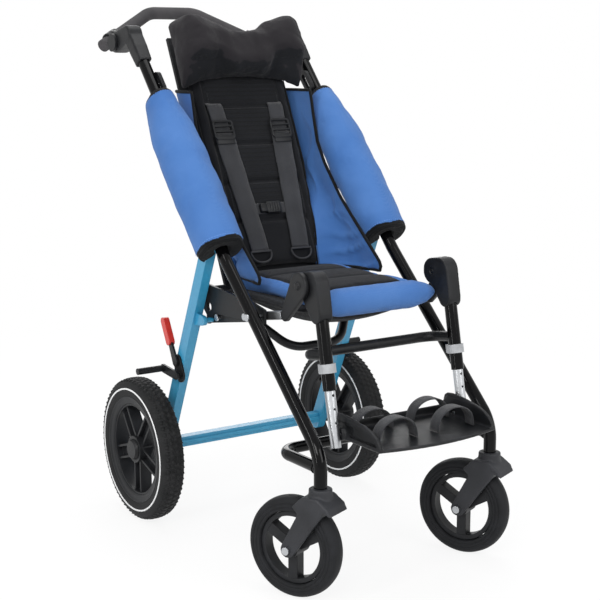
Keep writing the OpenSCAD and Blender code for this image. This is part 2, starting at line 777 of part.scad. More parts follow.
caster_axle = [trail, caster_d / 2];
fork_gap = 4;
fork_leg_t = 9;
fork_in = caster_w / 2 + fork_gap;
fork_out = fork_in + fork_leg_t;
collar_d = 44;
collar_top = tube_end_z - cut;
crown_drop = 13;
crown_top = collar_top - crown_drop;
crown_r = 22;
crown_at = [0, crown_top - crown_r];
fork_tip_r = 15;
lip_reach = 40;
lip_drop = 30;
caster_axle_d = 8;

module caster_fork(side) color("#3b3d41") at_caster(side) difference() {
    union() {
        side_slab(-fork_out, fork_out) {
            translate(crown_at) circle(crown_r);
            polygon([
                [-crown_r, crown_at[1]],
                [-lip_reach, crown_top - lip_drop],
                [-lip_reach + lip_drop / 4, crown_top - lip_drop / 2],
                [-crown_r / 2, crown_top],
                [crown_r, crown_top],
                [2 * crown_r, crown_top - crown_r],
                [crown_r, crown_at[1] - crown_r]
            ]);
        }
        for (x = [-fork_out, fork_in])
            side_link(x, x + fork_leg_t, crown_at, crown_r, caster_axle, fork_tip_r);
        translate([0, 0, crown_top - crown_r]) cylinder(d = collar_d, h = collar_top - crown_top + crown_r);
        translate([0, 0, crown_top]) cylinder(d = stem_d, h = tube_end_z + bush_h - crown_top);
    }
    peg_x(-fork_in, fork_in, caster_axle, caster_d + 2 * fork_gap);
    peg_x(-fork_out - cut, fork_out + cut, caster_axle, caster_axle_d + run_gap);
}

caster_head_d = 15;
caster_head_t = 6;

module caster_axle_bolt(side) color("#c4c7cb") at_caster(side) {
    peg_x(-fork_out - weld_gap, fork_out + weld_gap, caster_axle, caster_axle_d);
    for (x = [-fork_out - weld_gap - caster_head_t, fork_out + weld_gap])
        peg_x(x, x + caster_head_t, caster_axle, caster_head_d);
}

module caster_tyre(side) color("#202124") at_caster(side) translate([0, caster_axle[0], caster_axle[1]])
    rotate([0, 90, 0]) tyre(caster_d, caster_w, caster_rim_d);

caster_ring_t = 9;
caster_ring_half = 12;
caster_hub_d = 34;
caster_spoke_w = 20;

module caster_rim(side) color("#2b2d31") at_caster(side) translate([0, caster_axle[0], caster_axle[1]])
    rotate([0, 90, 0]) difference() {
        ring_r = caster_rim_d / 2 - rim_fit;
        hub_h = 2 * (fork_in - side_gap);
        union() {
            difference() {
                translate([0, 0, -caster_ring_half]) cylinder(r = ring_r, h = 2 * caster_ring_half);
                translate([0, 0, -caster_ring_half - cut])
                    cylinder(r = ring_r - caster_ring_t, h = 2 * (caster_ring_half + cut));
            }
            translate([0, 0, -hub_h / 2]) cylinder(d = caster_hub_d, h = hub_h);
            for (i = [0 : caster_spokes - 1])
                rotate(i * 360 / caster_spokes)
                    translate([0, -caster_spoke_w / 2, -caster_ring_half + cut])
                        cube([ring_r - caster_ring_t / 2, caster_spoke_w, 2 * (caster_ring_half - cut)]);
        }
        translate([0, 0, -hub_h]) cylinder(d = caster_axle_d + 2 * run_gap, h = 2 * hub_h);
    }

// Push handle: a steel bar in a full-length grip, clamped behind the two pivots

handle_end_y = handle_pivot[0] + handle_end_back;
handle_end_drop = 4;
handle_end_z = handle_pivot[1] - handle_end_drop;
handle_route = [
    [handle_end_half, handle_end_y, handle_end_z],
    [handle_mid_half, handle_end_y + handle_rise_back, handle_end_z + handle_rise],
    [-handle_mid_half, handle_end_y + handle_rise_back, handle_end_z + handle_rise],
    [-handle_end_half, handle_end_y, handle_end_z]
];
handle_bend_r = 55;
handle_dir = unit(handle_route[1] - handle_route[0]);

module push_bar() color("#8d9095") difference() {
    bent_bar(handle_route, push_bar_d, [handle_bend_r, handle_bend_r]);
    bent_bar(handle_route, push_bar_d - 2 * tube_wall, [handle_bend_r, handle_bend_r], cut);
}

cap_t = 6;

module handle_grip() color("#3d3e41") {
    difference() {
        bent_bar(handle_route, grip_d, [handle_bend_r, handle_bend_r], cap_t);
        bent_bar(handle_route, push_bar_d + 2 * run_gap, [handle_bend_r, handle_bend_r]);
    }
}

sleeve_len = 34;
sleeve_wall = 5;

module handle_clamps() color("#2c2d30") on_both() difference() {
    reach = (handle_end_half - (clamp_x0 + clamp_x1) / 2) / -handle_dir[0];
    hold = handle_route[0] + handle_dir * reach;
    union() {
        side_link(clamp_x0, clamp_x1, handle_pivot, clamp_r, [hold[1], hold[2]], grip_d / 2 + sleeve_wall);
        along(hold - handle_dir * sleeve_len / 2, handle_dir) cylinder(d = grip_d + 2 * sleeve_wall, h = sleeve_len);
    }
    along(handle_route[0] - handle_dir * sleeve_len, handle_dir)
        cylinder(d = grip_d + 2 * run_gap, h = reach + 3 * sleeve_len);
    peg_x(0, frame_w, handle_pivot, handle_pin_d + 2 * run_gap);
}

// Backrest: built about its pivot, with z up the back and -y to the front

module in_back() translate([0, back_pivot_y, back_pivot_z]) rotate([-back_lean, 0, 0]) children();

board_t = 8;
hinge_tube_d = 18;
hinge_end_gap = 1;
hinge_half = rail_x - rail_sq / 2 - hinge_end_gap;

module back_board() color("#242528") in_back() difference() {
    union() {
        translate([-back_half_w, -board_t, 0]) cube([2 * back_half_w, board_t, back_len]);
        peg_x(-hinge_half, hinge_half, [0, 0], hinge_tube_d);
    }
    peg_x(-hinge_half - cut, hinge_half + cut, [0, 0], bolt_d + 2 * run_gap);
}

cushion_foot = 45;
back_channel = 4;
back_draw = 5;

module back_cushion() color("#26272b") in_back() translate([0, -board_t, cushion_foot]) rotate([90, 0, 0])
    cushion(2 * back_half_w - 2 * back_draw, back_len - cushion_foot, back_edge_t, back_crown,
        back_draw, back_rows, back_channel);

// Harness: two shoulder straps, a chest strap and their plastic hardware, lying on the cushion
web_t = 2.5;
web_w = 36;
strap_top = [76, 388];
strap_low = [50, 62];
chest_s = 155;
chest_w = 24;
front_n = board_t + back_edge_t + back_crown + seat_gap;

// Flat piece on the front of the back, drawn as (x, height)
module on_front(n0, n1) {
    translate([0, -n0, 0]) rotate([90, 0, 0]) linear_extrude(n1 - n0) children();
}

function strap_x(s) = strap_low[0] + (strap_top[0] - strap_low[0]) * (s - strap_low[1]) / (strap_top[1] - strap_low[1]);

module harness_straps() color("#1f2022") in_back() {
    on_both() on_front(front_n, front_n + web_t) polygon([
        strap_low - [web_w / 2, 0],
        strap_low + [web_w / 2, 0],
        strap_top + [web_w / 2, 0],
        strap_top - [web_w / 2, 0]
    ]);
    inner = strap_x(chest_s) - web_w / 2 - side_gap - cut;
    on_both() on_front(front_n, front_n + web_t)
        translate([buckle_w / 2 + seat_gap, chest_s - chest_w / 2]) square([inner - buckle_w / 2, chest_w]);
}

buckle_w = 40;
buckle_h = 30;
buckle_t = 11;
adjuster_s = 334;
adjuster_w = 46;
adjuster_h = 38;
adjuster_t = 6;
bar_t = 5;
ring_w = 42;
ring_h = 24;
ring_wire = 5;

// Frame with two slots, as on a ladder-lock adjuster
module adjuster_2d() {
    difference() {
        square([adjuster_w, adjuster_h], center = true);
        for (s = [-1, 1])
            translate([0, s * (adjuster_h - bar_t) / 4])
                square([adjuster_w - 2 * bar_t, (adjuster_h - 3 * bar_t) / 2], center = true);
    }
}

module harness_hardware() color("#2a2b2d") in_back() {
    on_both() on_front(front_n + web_t + seat_gap, front_n + web_t + seat_gap + adjuster_t)
        translate([strap_x(adjuster_s), adjuster_s]) adjuster_2d();
    on_front(front_n, front_n + buckle_t)
        translate([-buckle_w / 2, chest_s - buckle_h / 2]) square([buckle_w, buckle_h]);
    on_both() on_front(front_n, front_n + ring_wire) translate([strap_low[0], strap_low[1] - seat_gap]) difference() {
        translate([-ring_w / 2, -ring_h]) square([ring_w, ring_h]);
        translate([ring_wire - ring_w / 2, ring_wire - ring_h]) square([ring_w - 2 * ring_wire, ring_h - 2 * ring_wire]);
    }
}

// Headrest: a butterfly cushion with its wings swept forward and up
head_low = 448;
wing_rise = 40;
wing_drop = 22;
wing_t = 34;
head_edge_share = 0.35;

function head_foot(u) = head_low - wing_drop * u * u;
function head_top(u) = head_low + head_mid_h + wing_rise * (1 - cos(180 * u)) / 2 - wing_rise * pow(abs(u), 8) / 2;
function head_height(u, t) = head_foot(u) + (head_top(u) - head_foot(u)) * t;
function head_depth(u) = head_mid_t + wing_t * u * u - (head_mid_t + wing_t) * pow(abs(u), 12) * (1 - head_edge_share);
function head_swell(u, t) = head_depth(u) * (head_edge_share + (1 - head_edge_share) * pow(1 - pow(2 * t - 1, 4), 0.5));
head_sink = 1.1;
head_back_n = front_n - head_sink;

module headrest() color("#232427") in_back() {
    nu = 20;
    nv = 10;
    spots = [for (t = steps(nv), s = steps(nu)) [2 * s - 1, t]];
    translate([0, -head_back_n, 0]) grid_solid(
        [for (p = spots) [p[0] * head_half_w, -head_swell(p[0], p[1]), head_height(p[0], p[1])]],
        [for (p = spots) [p[0] * head_half_w, 0, head_height(p[0], p[1])]],
        nu, nv
    );
}

// Seat-depth slider: silver inner rails with the fixed halves of the knee joints
hanger_x = hanger_spacing / 2;
knee_w = 30;
knee_x0 = hanger_x - knee_w / 2;
knee_x1 = hanger_x + knee_w / 2;
knee_plate_t = 10;
knee_plate_x0 = knee_x1 + side_gap;
knee_r = 26;
knee_pin_d = 10;
inner_back_run = 88;
inner_front_run = 258;

module inner_rails() color("#c9ccd0") on_both() difference() {
    square_bar(rail_x, inner_back_run, inner_front_run, inner_sq);
    square_bar(rail_x, inner_back_run - cut, inner_front_run + cut, inner_sq - 2 * tube_wall);
}

rail_cap_t = 12;

module knee_brackets() color("#2b2c2f") on_both() {
    difference() {
        union() {
            side_link(knee_plate_x0, knee_plate_x0 + knee_plate_t, knee_joint, knee_r, rail_at(inner_front_run + rail_cap_t), inner_sq / 2 + 2 * tube_wall);
            square_bar(rail_x, inner_front_run + weld_gap, inner_front_run + rail_cap_t, inner_sq);
        }
        square_bar(rail_x, inner_front_run - 3 * inner_sq, inner_front_run + weld_gap, inner_sq + weld_gap);
        peg_x(0, frame_w, knee_joint, knee_pin_d + run_gap);
    }
    peg_x(knee_x0 + cut, knee_plate_x0 + knee_plate_t + cut, knee_joint, knee_pin_d);
    peg_x(knee_plate_x0 + knee_plate_t + cut, knee_plate_x0 + knee_plate_t + cut + bolt_head_h, knee_joint, bolt_head_d);
}

// Footrest: moving knee housings, hangers, clamps, calf bar, sliding foot tubes and footplate
hanger_line_y = knee_joint[0] - hanger_reach;
function hanger_y(z) = hanger_line_y + (z - knee_joint_z) * tan(hanger_lean);
hanger_dir = [0, sin(hanger_lean), cos(hanger_lean)];
hanger_top_z = 522;
hanger_low_z = 384;
function hanger_at(z) = [hanger_x, hanger_y(z), z];
function down_hanger(z0, z1) = (z0 - z1) / cos(hanger_lean);
housing_low_r = 17;
housing_ahead = 22;
housing_rise = 3;
housing_top = knee_joint + [-housing_ahead, housing_rise];
housing_low = [hanger_y(hanger_top_z), hanger_top_z];

module knee_housings() color("#36373b") on_both() difference() {
    union() {
        side_link(knee_x0, knee_x1, knee_joint, knee_r, housing_top, knee_r);
        side_link(knee_x0, knee_x1, housing_top, knee_r, housing_low, housing_low_r);
        side_link(knee_x0, knee_x1, knee_joint, knee_r * 2 / 3, housing_low, housing_low_r);
    }
    peg_x(0, frame_w, knee_joint, knee_pin_d + 2 * run_gap);
    along(hanger_at(hanger_top_z - housing_low_r - cut), hanger_dir)
        cylinder(d = hanger_d + 2 * run_gap, h = down_hanger(hanger_top_z, hanger_top_z - housing_low_r - cut));
}

module hanger_tubes() color("#17181a") on_both() difference() {
    along(hanger_at(hanger_low_z), hanger_dir) cylinder(d = hanger_d, h = down_hanger(hanger_top_z, hanger_low_z));
    along(hanger_at(hanger_low_z - cut), hanger_dir)
        cylinder(d = foot_tube_d + 2 * run_gap, h = down_hanger(hanger_top_z, hanger_low_z) + 4 * cut);
}

clamp_z = 416;
ring_h_clamp = 17;
ring_wall = 4;

module tube_clamps() color("#b5b7ba") on_both() difference() {
    union() {
        along(hanger_at(clamp_z), hanger_dir) cylinder(d = hanger_d + 2 * ring_wall, h = ring_h_clamp);
        along(hanger_at(clamp_z), hanger_dir)
            translate([-hanger_d, -ring_wall, 0]) cube([hanger_d, 2 * ring_wall, ring_h_clamp]);
    }
    along(hanger_at(clamp_z - cut), hanger_dir) cylinder(d = hanger_d + 2 * run_gap, h = ring_h_clamp + 4 * cut);
}

calf_d = 20;
calf_z = 448;
calf_drop = 12;
calf_back = 72;
calf_bend_r = 30;
calf_route = [
    [hanger_x, hanger_y(calf_z), calf_z],
    [hanger_x, hanger_y(calf_z) + calf_back, calf_z - calf_drop],
    [-hanger_x, hanger_y(calf_z) + calf_back, calf_z - calf_drop],
    [-hanger_x, hanger_y(calf_z), calf_z]
];

module calf_bar() color("#2a2b2d") difference() {
    bent_bar(calf_route, calf_d, [calf_bend_r, calf_bend_r]);
    on_both() along(hanger_at(hanger_low_z), hanger_dir)
        cylinder(d = hanger_d + 2 * weld_gap, h = down_hanger(hanger_top_z, hanger_low_z));
}

foot_tube_low_z = 280;
foot_tube_top_z = 452;
plate_pin_z = 302;
plate_pin = [hanger_y(plate_pin_z), plate_pin_z];
plate_pin_d = 8;
index_hole_d = 5;
index_holes = 3;
index_pitch = 25;

module foot_tubes() color("#c9ccd0") on_both() {
    difference() {
        along(hanger_at(foot_tube_low_z), hanger_dir)
            cylinder(d = foot_tube_d, h = down_hanger(foot_tube_top_z, foot_tube_low_z));
        along(hanger_at(foot_tube_low_z - cut), hanger_dir)
            cylinder(d = foot_tube_d - 2 * tube_wall, h = down_hanger(foot_tube_top_z, foot_tube_low_z) + 4 * cut);
        for (i = [1 : index_holes])
            translate(hanger_at(plate_pin_z + i * index_pitch)) rotate([90, 0, 0])
                cylinder(d = index_hole_d, h = foot_tube_d);
    }
    peg_x(footplate_half_w - wing_t_plate, hanger_x, plate_pin, plate_pin_d);
}

// Footplate: a tray with a bowed front edge, side wings and a low heel wall
plate_t_foot = 6;
wing_t_plate = 6;
heel_h = 22;
heel_behind = 34;
plate_rear = plate_pin[0] + heel_behind;
plate_front = plate_rear - footplate_len;
bow = 18;
boss_d = 24;
wing_shares = [[1, 0], [0.98, 0.25], [0.93, 0.48], [0.82, 0.74], [0.66, 0.92], [0.45, 1], [0.1, 1]];

module footplate() color("#26272a") {
    low = footplate_z - plate_t_foot;
    floor_half = footplate_half_w - wing_t_plate;
    bow_r = (floor_half * floor_half + bow * bow) / (2 * bow);
    difference() {
        union() {
            translate([-floor_half, plate_front, low]) cube([2 * floor_half, footplate_len, plate_t_foot]);
            intersection() {
                translate([0, plate_front - bow + bow_r, low]) cylinder(r = bow_r, h = plate_t_foot, $fn = 180);
                translate([-floor_half, plate_front - 2 * bow, low])
                    cube([2 * floor_half, 2 * bow + cut, plate_t_foot]);
            }
            translate([-floor_half, plate_rear - wing_t_plate, low]) cube([2 * floor_half, wing_t_plate, heel_h]);
            on_both() footplate_wing(floor_half, low);
        }
        peg_x(-frame_w, frame_w, plate_pin, plate_pin_d + 2 * run_gap);
    }
}

module footplate_wing(floor_half, low) {
    side_slab(floor_half - cut, footplate_half_w) polygon([
        [plate_front, low],
        each [for (p = wing_shares) [plate_rear - footplate_len * p[0], footplate_z + wing_h * p[1]]],
        [plate_rear, footplate_z + heel_h],
        [plate_rear, low]
    ]);
    peg_x(footplate_half_w - cut, hanger_x - foot_tube_d / 2 - side_gap, plate_pin, boss_d);
}

// Webbing loops over each foot: a toe loop and a heel loop
loop_half = 44;
loop_x = 68;
loop_h = 42;
loop_web = 3;
loop_depth = 26;
loop_fronts = [18, 92];

module foot_strap_arch() {
    arch_r = loop_half;
    difference() {
        translate([0, loop_h - arch_r]) circle(arch_r);
        translate([0, loop_h - arch_r]) circle(arch_r - loop_web);
        translate([-2 * arch_r, -2 * arch_r]) square([4 * arch_r, 2 * arch_r]);
    }
}

module foot_straps() color("#1f2022")
    for (s = [-1, 1], front = loop_fronts)
        translate([s * loop_x, plate_rear - front, footplate_z + weld_gap]) rotate([90, 0, 0])
            linear_extrude(loop_depth) foot_strap_arch();

// Fold release: a horseshoe bar slung under the seat between the two rails
release_d = 9;
release_bar_d = 18;
release_run = 45;
release_pivot = rail_at(release_run);
release_reach = 94;
release_lean = 45;
release_half = 136;
release_hub_d = 24;
release_bends = [60, 60];
release_mid_share = 0.45;
release_drop = [-sin(release_lean), -cos(release_lean)];
function release_spot(x, s) = concat([x], release_pivot + release_drop * s);

module release_bar() color("#222325") {
    mid_x = release_half * release_mid_share;
    end_x = rail_x - rail_sq / 2 - side_gap;
    turn_x = release_half - release_bar_d / 2;
    bent_bar([
        release_spot(turn_x, 0),
        release_spot(mid_x, release_reach),
        release_spot(-mid_x, release_reach),
        release_spot(-turn_x, 0)
    ], release_bar_d, release_bends);
    on_both() {
        peg_x(turn_x - release_bar_d / 2, end_x, release_pivot, release_hub_d);
        peg_x(end_x - release_d, rail_x - inner_sq / 2 - side_gap, release_pivot, release_d);
    }
}

front_tube(left);  // front_tube_left
front_tube(right);  // front_tube_right
lower_cross_bar();
stem_bushes();
handle_brackets();
handle_buttons();
strap_anchors();
bolster(left);  // bolster_left
bolster(right);  // bolster_right
seat_rails();
seat_side_plates();
frame_bolts();
seat_sling();
seat_cushion();
seat_front_roll();
side_panel(left);  // side_panel_left
side_panel(right);  // side_panel_right
rear_leg(left);  // rear_leg_left
rear_leg(right);  // rear_leg_right
rear_crossbar();
rear_axles();
brake_clamps();
rear_tyre(left);  // rear_tyre_left
rear_tyre(right);  // rear_tyre_right
rear_rim(left);  // rear_rim_left
rear_rim(right);  // rear_rim_right
rear_hub_cap(left);  // rear_hub_cap_left
rear_hub_cap(right);  // rear_hub_cap_right
brake_lever(left);  // brake_lever_left
brake_lever(right);  // brake_lever_right
brake_grip(left);  // brake_grip_left
brake_grip(right);  // brake_grip_right
brake_shoe(left);  // brake_shoe_left
brake_shoe(right);  // brake_shoe_right
caster_fork(left);  // caster_fork_left
caster_fork(right);  // caster_fork_right
caster_axle_bolt(left);  // caster_axle_left
caster_axle_bolt(right);  // caster_axle_right
caster_tyre(left);  // caster_tyre_left
caster_tyre(right);  // caster_tyre_right
caster_rim(left);  // caster_rim_left
caster_rim(right);  // caster_rim_right
push_bar();
handle_grip();
handle_clamps();
back_board();
back_cushion();
harness_straps();
harness_hardware();
headrest();
inner_rails();
knee_brackets();
knee_housings();
hanger_tubes();
tube_clamps();
calf_bar();
foot_tubes();
footplate();
foot_straps();
release_bar();
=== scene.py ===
from math import copysign, cos, exp, pi, radians, sin

import bmesh
import bpy
from mathutils import Matrix, Vector, noise
from mathutils.bvhtree import BVHTree


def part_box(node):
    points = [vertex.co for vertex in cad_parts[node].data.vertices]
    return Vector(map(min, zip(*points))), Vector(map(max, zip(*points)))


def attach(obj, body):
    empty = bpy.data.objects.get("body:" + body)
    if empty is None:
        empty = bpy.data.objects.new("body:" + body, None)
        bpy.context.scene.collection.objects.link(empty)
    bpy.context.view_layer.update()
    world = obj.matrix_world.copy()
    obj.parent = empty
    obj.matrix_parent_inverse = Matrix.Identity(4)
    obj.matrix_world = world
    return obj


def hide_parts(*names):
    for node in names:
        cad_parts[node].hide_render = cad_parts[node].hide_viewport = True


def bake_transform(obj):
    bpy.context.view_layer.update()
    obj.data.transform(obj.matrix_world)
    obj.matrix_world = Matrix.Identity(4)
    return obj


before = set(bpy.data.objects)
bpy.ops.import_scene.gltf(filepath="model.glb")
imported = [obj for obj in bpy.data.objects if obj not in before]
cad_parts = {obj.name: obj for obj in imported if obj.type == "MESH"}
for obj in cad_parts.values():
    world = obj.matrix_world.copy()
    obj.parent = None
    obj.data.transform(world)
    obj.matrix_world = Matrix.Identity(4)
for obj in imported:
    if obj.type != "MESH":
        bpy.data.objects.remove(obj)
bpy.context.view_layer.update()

# Studio: a white paper floor under large soft boxes, with the buggy seen from its front right corner.
# Only the camera, the floor, the lamps and the sky are made here, and none of them belongs to the buggy.
scene = bpy.context.scene
scene.view_settings.view_transform = "Standard"
aim = Vector((0.0, -0.1125, 0.5))
towards_camera = Vector((-0.5534, -0.8131, 0.1809))
camera_distance = 2.751


def placed(name, data):
    """A new object, linked to the scene."""
    made = bpy.data.objects.new(name, data)
    scene.collection.objects.link(made)
    return made


camera = placed("camera", bpy.data.cameras.new("camera"))
camera.data.lens = 80.72
camera.data.sensor_width = 36
camera.data.shift_x = -0.0334
camera.data.shift_y = -0.0008
camera.location = aim + towards_camera * camera_distance
camera.rotation_euler = (-towards_camera).to_track_quat("-Z", "Y").to_euler()
scene.camera = camera


def paint(code):
    """A colour as written on a paint card, as the linear numbers that a shader takes."""
    parts = [int(code[i:i + 2], 16) / 255 for i in (1, 3, 5)]
    return [c / 12.92 if c <= 0.04045 else ((c + 0.055) / 1.055) ** 2.4 for c in parts] + [1.0]


class Wire:
    """A node's output. Sums of wires and numbers become Math nodes."""

    def __init__(self, nodes, socket):
        self.nodes = nodes
        self.socket = socket

    def sum(self, operation, first, second=0.0):
        return self.nodes.add("ShaderNodeMath", {0: first, 1: second}, operation=operation)

    def __add__(self, other):
        return self.sum("ADD", self, other)

    def __radd__(self, other):
        return self.sum("ADD", other, self)

    def __sub__(self, other):
        return self.sum("SUBTRACT", self, other)

    def __mul__(self, other):
        return self.sum("MULTIPLY", self, other)

    def __truediv__(self, other):
        return self.sum("DIVIDE", self, other)


class Nodes:
    """A node tree. add() makes any node from the values or wires of its sockets and its named settings."""

    def __init__(self, tree):
        self.tree = tree

    def add(self, kind, sockets=None, out=0, **settings):
        node = self.tree.nodes.new(kind)
        for key, value in settings.items():
            setattr(node, key, value)
        for key, value in (sockets or {}).items():
            self.put(node.inputs[key], value)
        return Wire(self, node.outputs[out]) if node.outputs else node

    def put(self, socket, value):
        if isinstance(value, Wire):
            self.tree.links.new(value.socket, socket)
        else:
            socket.default_value = value


class Finish(Nodes):
    """A surface finish. What is the same all over is set on the shader, and feed() links what changes."""

    def __init__(self, name, **same):
        self.material = bpy.data.materials.new(name)
        self.material.use_nodes = True
        super().__init__(self.material.node_tree)
        self.shader = self.tree.nodes["Principled BSDF"]
        for key, value in same.items():
            self.shader.inputs[key.replace("_", " ")].default_value = value

    def feed(self, socket, value):
        self.put(self.shader.inputs[socket], value)

    def place(self, stretch=(1, 1, 1)):
        spot = self.add("ShaderNodeTexCoord", out="Object")
        return self.add("ShaderNodeMapping", {"Vector": spot, "Scale": stretch}, vector_type="POINT")

    def grain(self, scale, detail=3.0, stretch=(1, 1, 1)):
        return self.add("ShaderNodeTexNoise", {"Vector": self.place(stretch), "Scale": scale, "Detail": detail})

    def cells(self, scale, **settings):
        return self.add("ShaderNodeTexVoronoi", {"Vector": self.place(), "Scale": scale}, **settings)

    def wave(self, wire):
        return wire.sum("SINE", wire)

    def clear(self, wire, low, high):
        return self.add("ShaderNodeMapRange", {"Value": wire, "From Min": low, "From Max": high})

    def mix(self, first, second, share):
        return self.add("ShaderNodeMix", {0: share, 6: first, 7: second}, out=2, data_type="RGBA")

    def tint(self, dark, light, share):
        self.feed("Base Color", self.mix(paint(dark), paint(light), share))

    def relief(self, height, depth, strength=1.0, round_edges=0.0):
        sockets = {"Height": height, "Distance": depth, "Strength": strength}
        if round_edges:
            sockets["Normal"] = self.add("ShaderNodeBevel", {"Radius": round_edges}, samples=6)
        self.feed("Normal", self.add("ShaderNodeBump", sockets))


def seen(nodes, mirrored):
    """1 for rays from the camera or through glass, and a share of it for rays from a mirror."""
    kinds = ("Camera", "Glossy", "Transmission")
    eye, mirror, glass = (nodes.add("ShaderNodeLightPath", out=f"Is {kind} Ray") for kind in kinds)
    return eye.sum("MAXIMUM", eye, mirror.sum("MAXIMUM", mirror * mirrored, glass))


paper = Finish("white_paper", Base_Color=paint("#f4f4f4"), Roughness=0.9, Specular_IOR_Level=0.1)
glow = paper.add("ShaderNodeEmission", {"Color": (1, 1, 1, 1), "Strength": 1.0})
surface = Wire(paper, paper.shader.outputs[0])
reach = paper.add("ShaderNodeVectorMath", {0: paper.place()}, out="Value", operation="LENGTH")
white_near = 0.87
white_share = white_near + paper.clear(reach, 0.9, 2.2) * (1 - white_near)
blended = paper.add("ShaderNodeMixShader", {0: seen(paper, 1.0) * white_share, 1: surface, 2: glow})
paper.put(paper.tree.nodes["Material Output"].inputs["Surface"], blended)
floor_mesh = bpy.data.meshes.new("floor")
floor_mesh.from_pydata([(-9, -9, 0), (9, -9, 0), (9, 9, 0), (-9, 9, 0)], [], [(0, 1, 2, 3)])
floor_mesh.materials.append(paper.material)
floor = placed("floor", floor_mesh)

scene.world = bpy.data.worlds.new("studio")
scene.world.use_nodes = True
sky = Nodes(scene.world.node_tree)
background = scene.world.node_tree.nodes["Background"]
sky_light = 0.58
sky.put(background.inputs["Color"], (1, 1, 1, 1))
sky.put(background.inputs["Strength"], sky_light + seen(sky, 0.5) * (1 - sky_light))

for name, spot, watts, width, height in (
    ("key_box", (-2.6, -2.6, 2.6), 53, 1.5, 1.5),
    ("fill_box", (1.0, -3.4, 1.9), 40, 1.8, 1.8),
    ("top_box", (0.2, 0.3, 3.4), 44, 2.2, 2.2),
    ("rear_box", (1.4, 2.8, 1.8), 26, 1.8, 1.8),
    ("strip_box", (-2.6, -0.85, 1.7), 25, 0.14, 3.2),
):
    lamp = placed(name, bpy.data.lights.new(name, "AREA"))
    lamp.data.energy = watts
    lamp.data.shape = "RECTANGLE"
    lamp.data.size, lamp.data.size_y = width, height
    lamp.location = spot
    lamp.rotation_euler = (aim - Vector(spot)).to_track_quat("-Z", "Y").to_euler()


# Front tubes and low cross bar: bent round steel tube, welded and coated in deep gloss black enamel, with
# a faint orange peel in the coat and a few dull patches where hands and straps rub it.
def dress(finish, *names):
    for name in names:
        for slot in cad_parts[name].material_slots:
            slot.material = finish.material


def coated(name, colours, spots, rough, skin, limits=None, edge=0.0, coat=None, stretch=(1, 1, 1), **same):
    """A finish whose colour, roughness and lacquer follow one grain, on the relief of a finer grain or its own."""
    finish = Finish(name, **same)
    tone = finish.grain(*spots, stretch)
    if limits:
        tone = finish.clear(tone, *limits)
    finish.tint(*colours, tone)
    finish.feed("Roughness", rough[0] + tone * rough[1])
    if coat:
        finish.feed("Coat Weight", coat[0] + tone * coat[1])
    fine, depth, strength = skin
    finish.relief(finish.grain(*fine) if fine else tone, depth, strength, edge)
    return finish


gloss_black = coated(
    "gloss_black_enamel", ("#040405", "#0b0c0d"), spots=(11, 4), limits=(0.52, 0.75), rough=(0.1, 0.16),
    coat=(0.17, -0.1), skin=((420, 2), 0.0002, 0.35), edge=0.0012, Specular_IOR_Level=0.1, Coat_Roughness=0.04, IOR=1.5)
dress(gloss_black, "front_tube_left", "front_tube_right", "lower_cross_bar", "hanger_tubes")


# Weld beads: rows of small overlapping ripples where the cross bar meets the front tubes, under the paint.
# Each bead is laid round the joint by a node tree, so the number and the size of its ripples can be changed.
def new_tree(name, **kinds):
    """An empty geometry tree, with its named inputs as wires."""
    tree = bpy.data.node_groups.new(name, "GeometryNodeTree")
    tree.interface.new_socket("Geometry", in_out="OUTPUT", socket_type="NodeSocketGeometry")
    for label, kind in kinds.items():
        tree.interface.new_socket(label, in_out="INPUT", socket_type="NodeSocket" + kind)
    nodes = Nodes(tree)
    return nodes, {s.name: Wire(nodes, s) for s in tree.nodes.new("NodeGroupInput").outputs if s.name}


def sized(nodes, given, kind, **sockets):
    """A mesh primitive of unit size, scaled to the size that the tree is given."""
    unit = nodes.add("GeometryNodeMesh" + kind, sockets)
    return nodes.add("GeometryNodeTransform", {"Geometry": unit, "Scale": given["Size"]})


def repeated(nodes, given, solid, **places):
    """Closes a tree with copies of a solid in their places, as one mesh in the finish that the tree is given."""
    made = nodes.add("GeometryNodeInstanceOnPoints", {"Instance": solid, **places})
    made = nodes.add("GeometryNodeRealizeInstances", {0: made})
    made = nodes.add("GeometryNodeSetMaterial", {"Geometry": made, "Material": given["Finish"]})
    nodes.put(nodes.tree.nodes.new("NodeGroupOutput").inputs["Geometry"], made)
    return nodes.tree


def ring_tree(name, kind, **sockets):
    """A tree that lays copies of one small solid in a ring about X, with named inputs for its sizes."""
    nodes, given = new_tree(name, Count="Int", Radius="Float", Offset="Float", Start="Float", Slant="Float",
                            Lean="Float", Size="Vector", Finish="Material")
    line = nodes.add("GeometryNodeMeshLine", {"Count": given["Count"]})
    angle = nodes.add("GeometryNodeInputIndex") * (2 * pi) / given["Count"] + given["Start"]
    spot = nodes.add("ShaderNodeCombineXYZ", {
        0: given["Offset"],
        1: given["Radius"] * angle.sum("COSINE", angle),
        2: given["Radius"] * angle.sum("SINE", angle),
    })
    dots = nodes.add("GeometryNodeSetPosition", {"Geometry": line, "Position": spot})
    slant = nodes.add("ShaderNodeCombineXYZ", {1: given["Lean"], 2: given["Slant"]})
    shape = sized(nodes, given, kind, **sockets)
    shape = nodes.add("GeometryNodeTransform", {"Geometry": shape, "Rotation": slant})
    turn = nodes.add("ShaderNodeCombineXYZ", {0: angle - pi / 2})
    return repeated(nodes, given, shape, Points=dots, Rotation=turn)


def baked(thing):
    """The plain mesh of an object as its modifiers leave it."""
    return bpy.data.meshes.new_from_object(thing.evaluated_get(bpy.context.evaluated_depsgraph_get()))


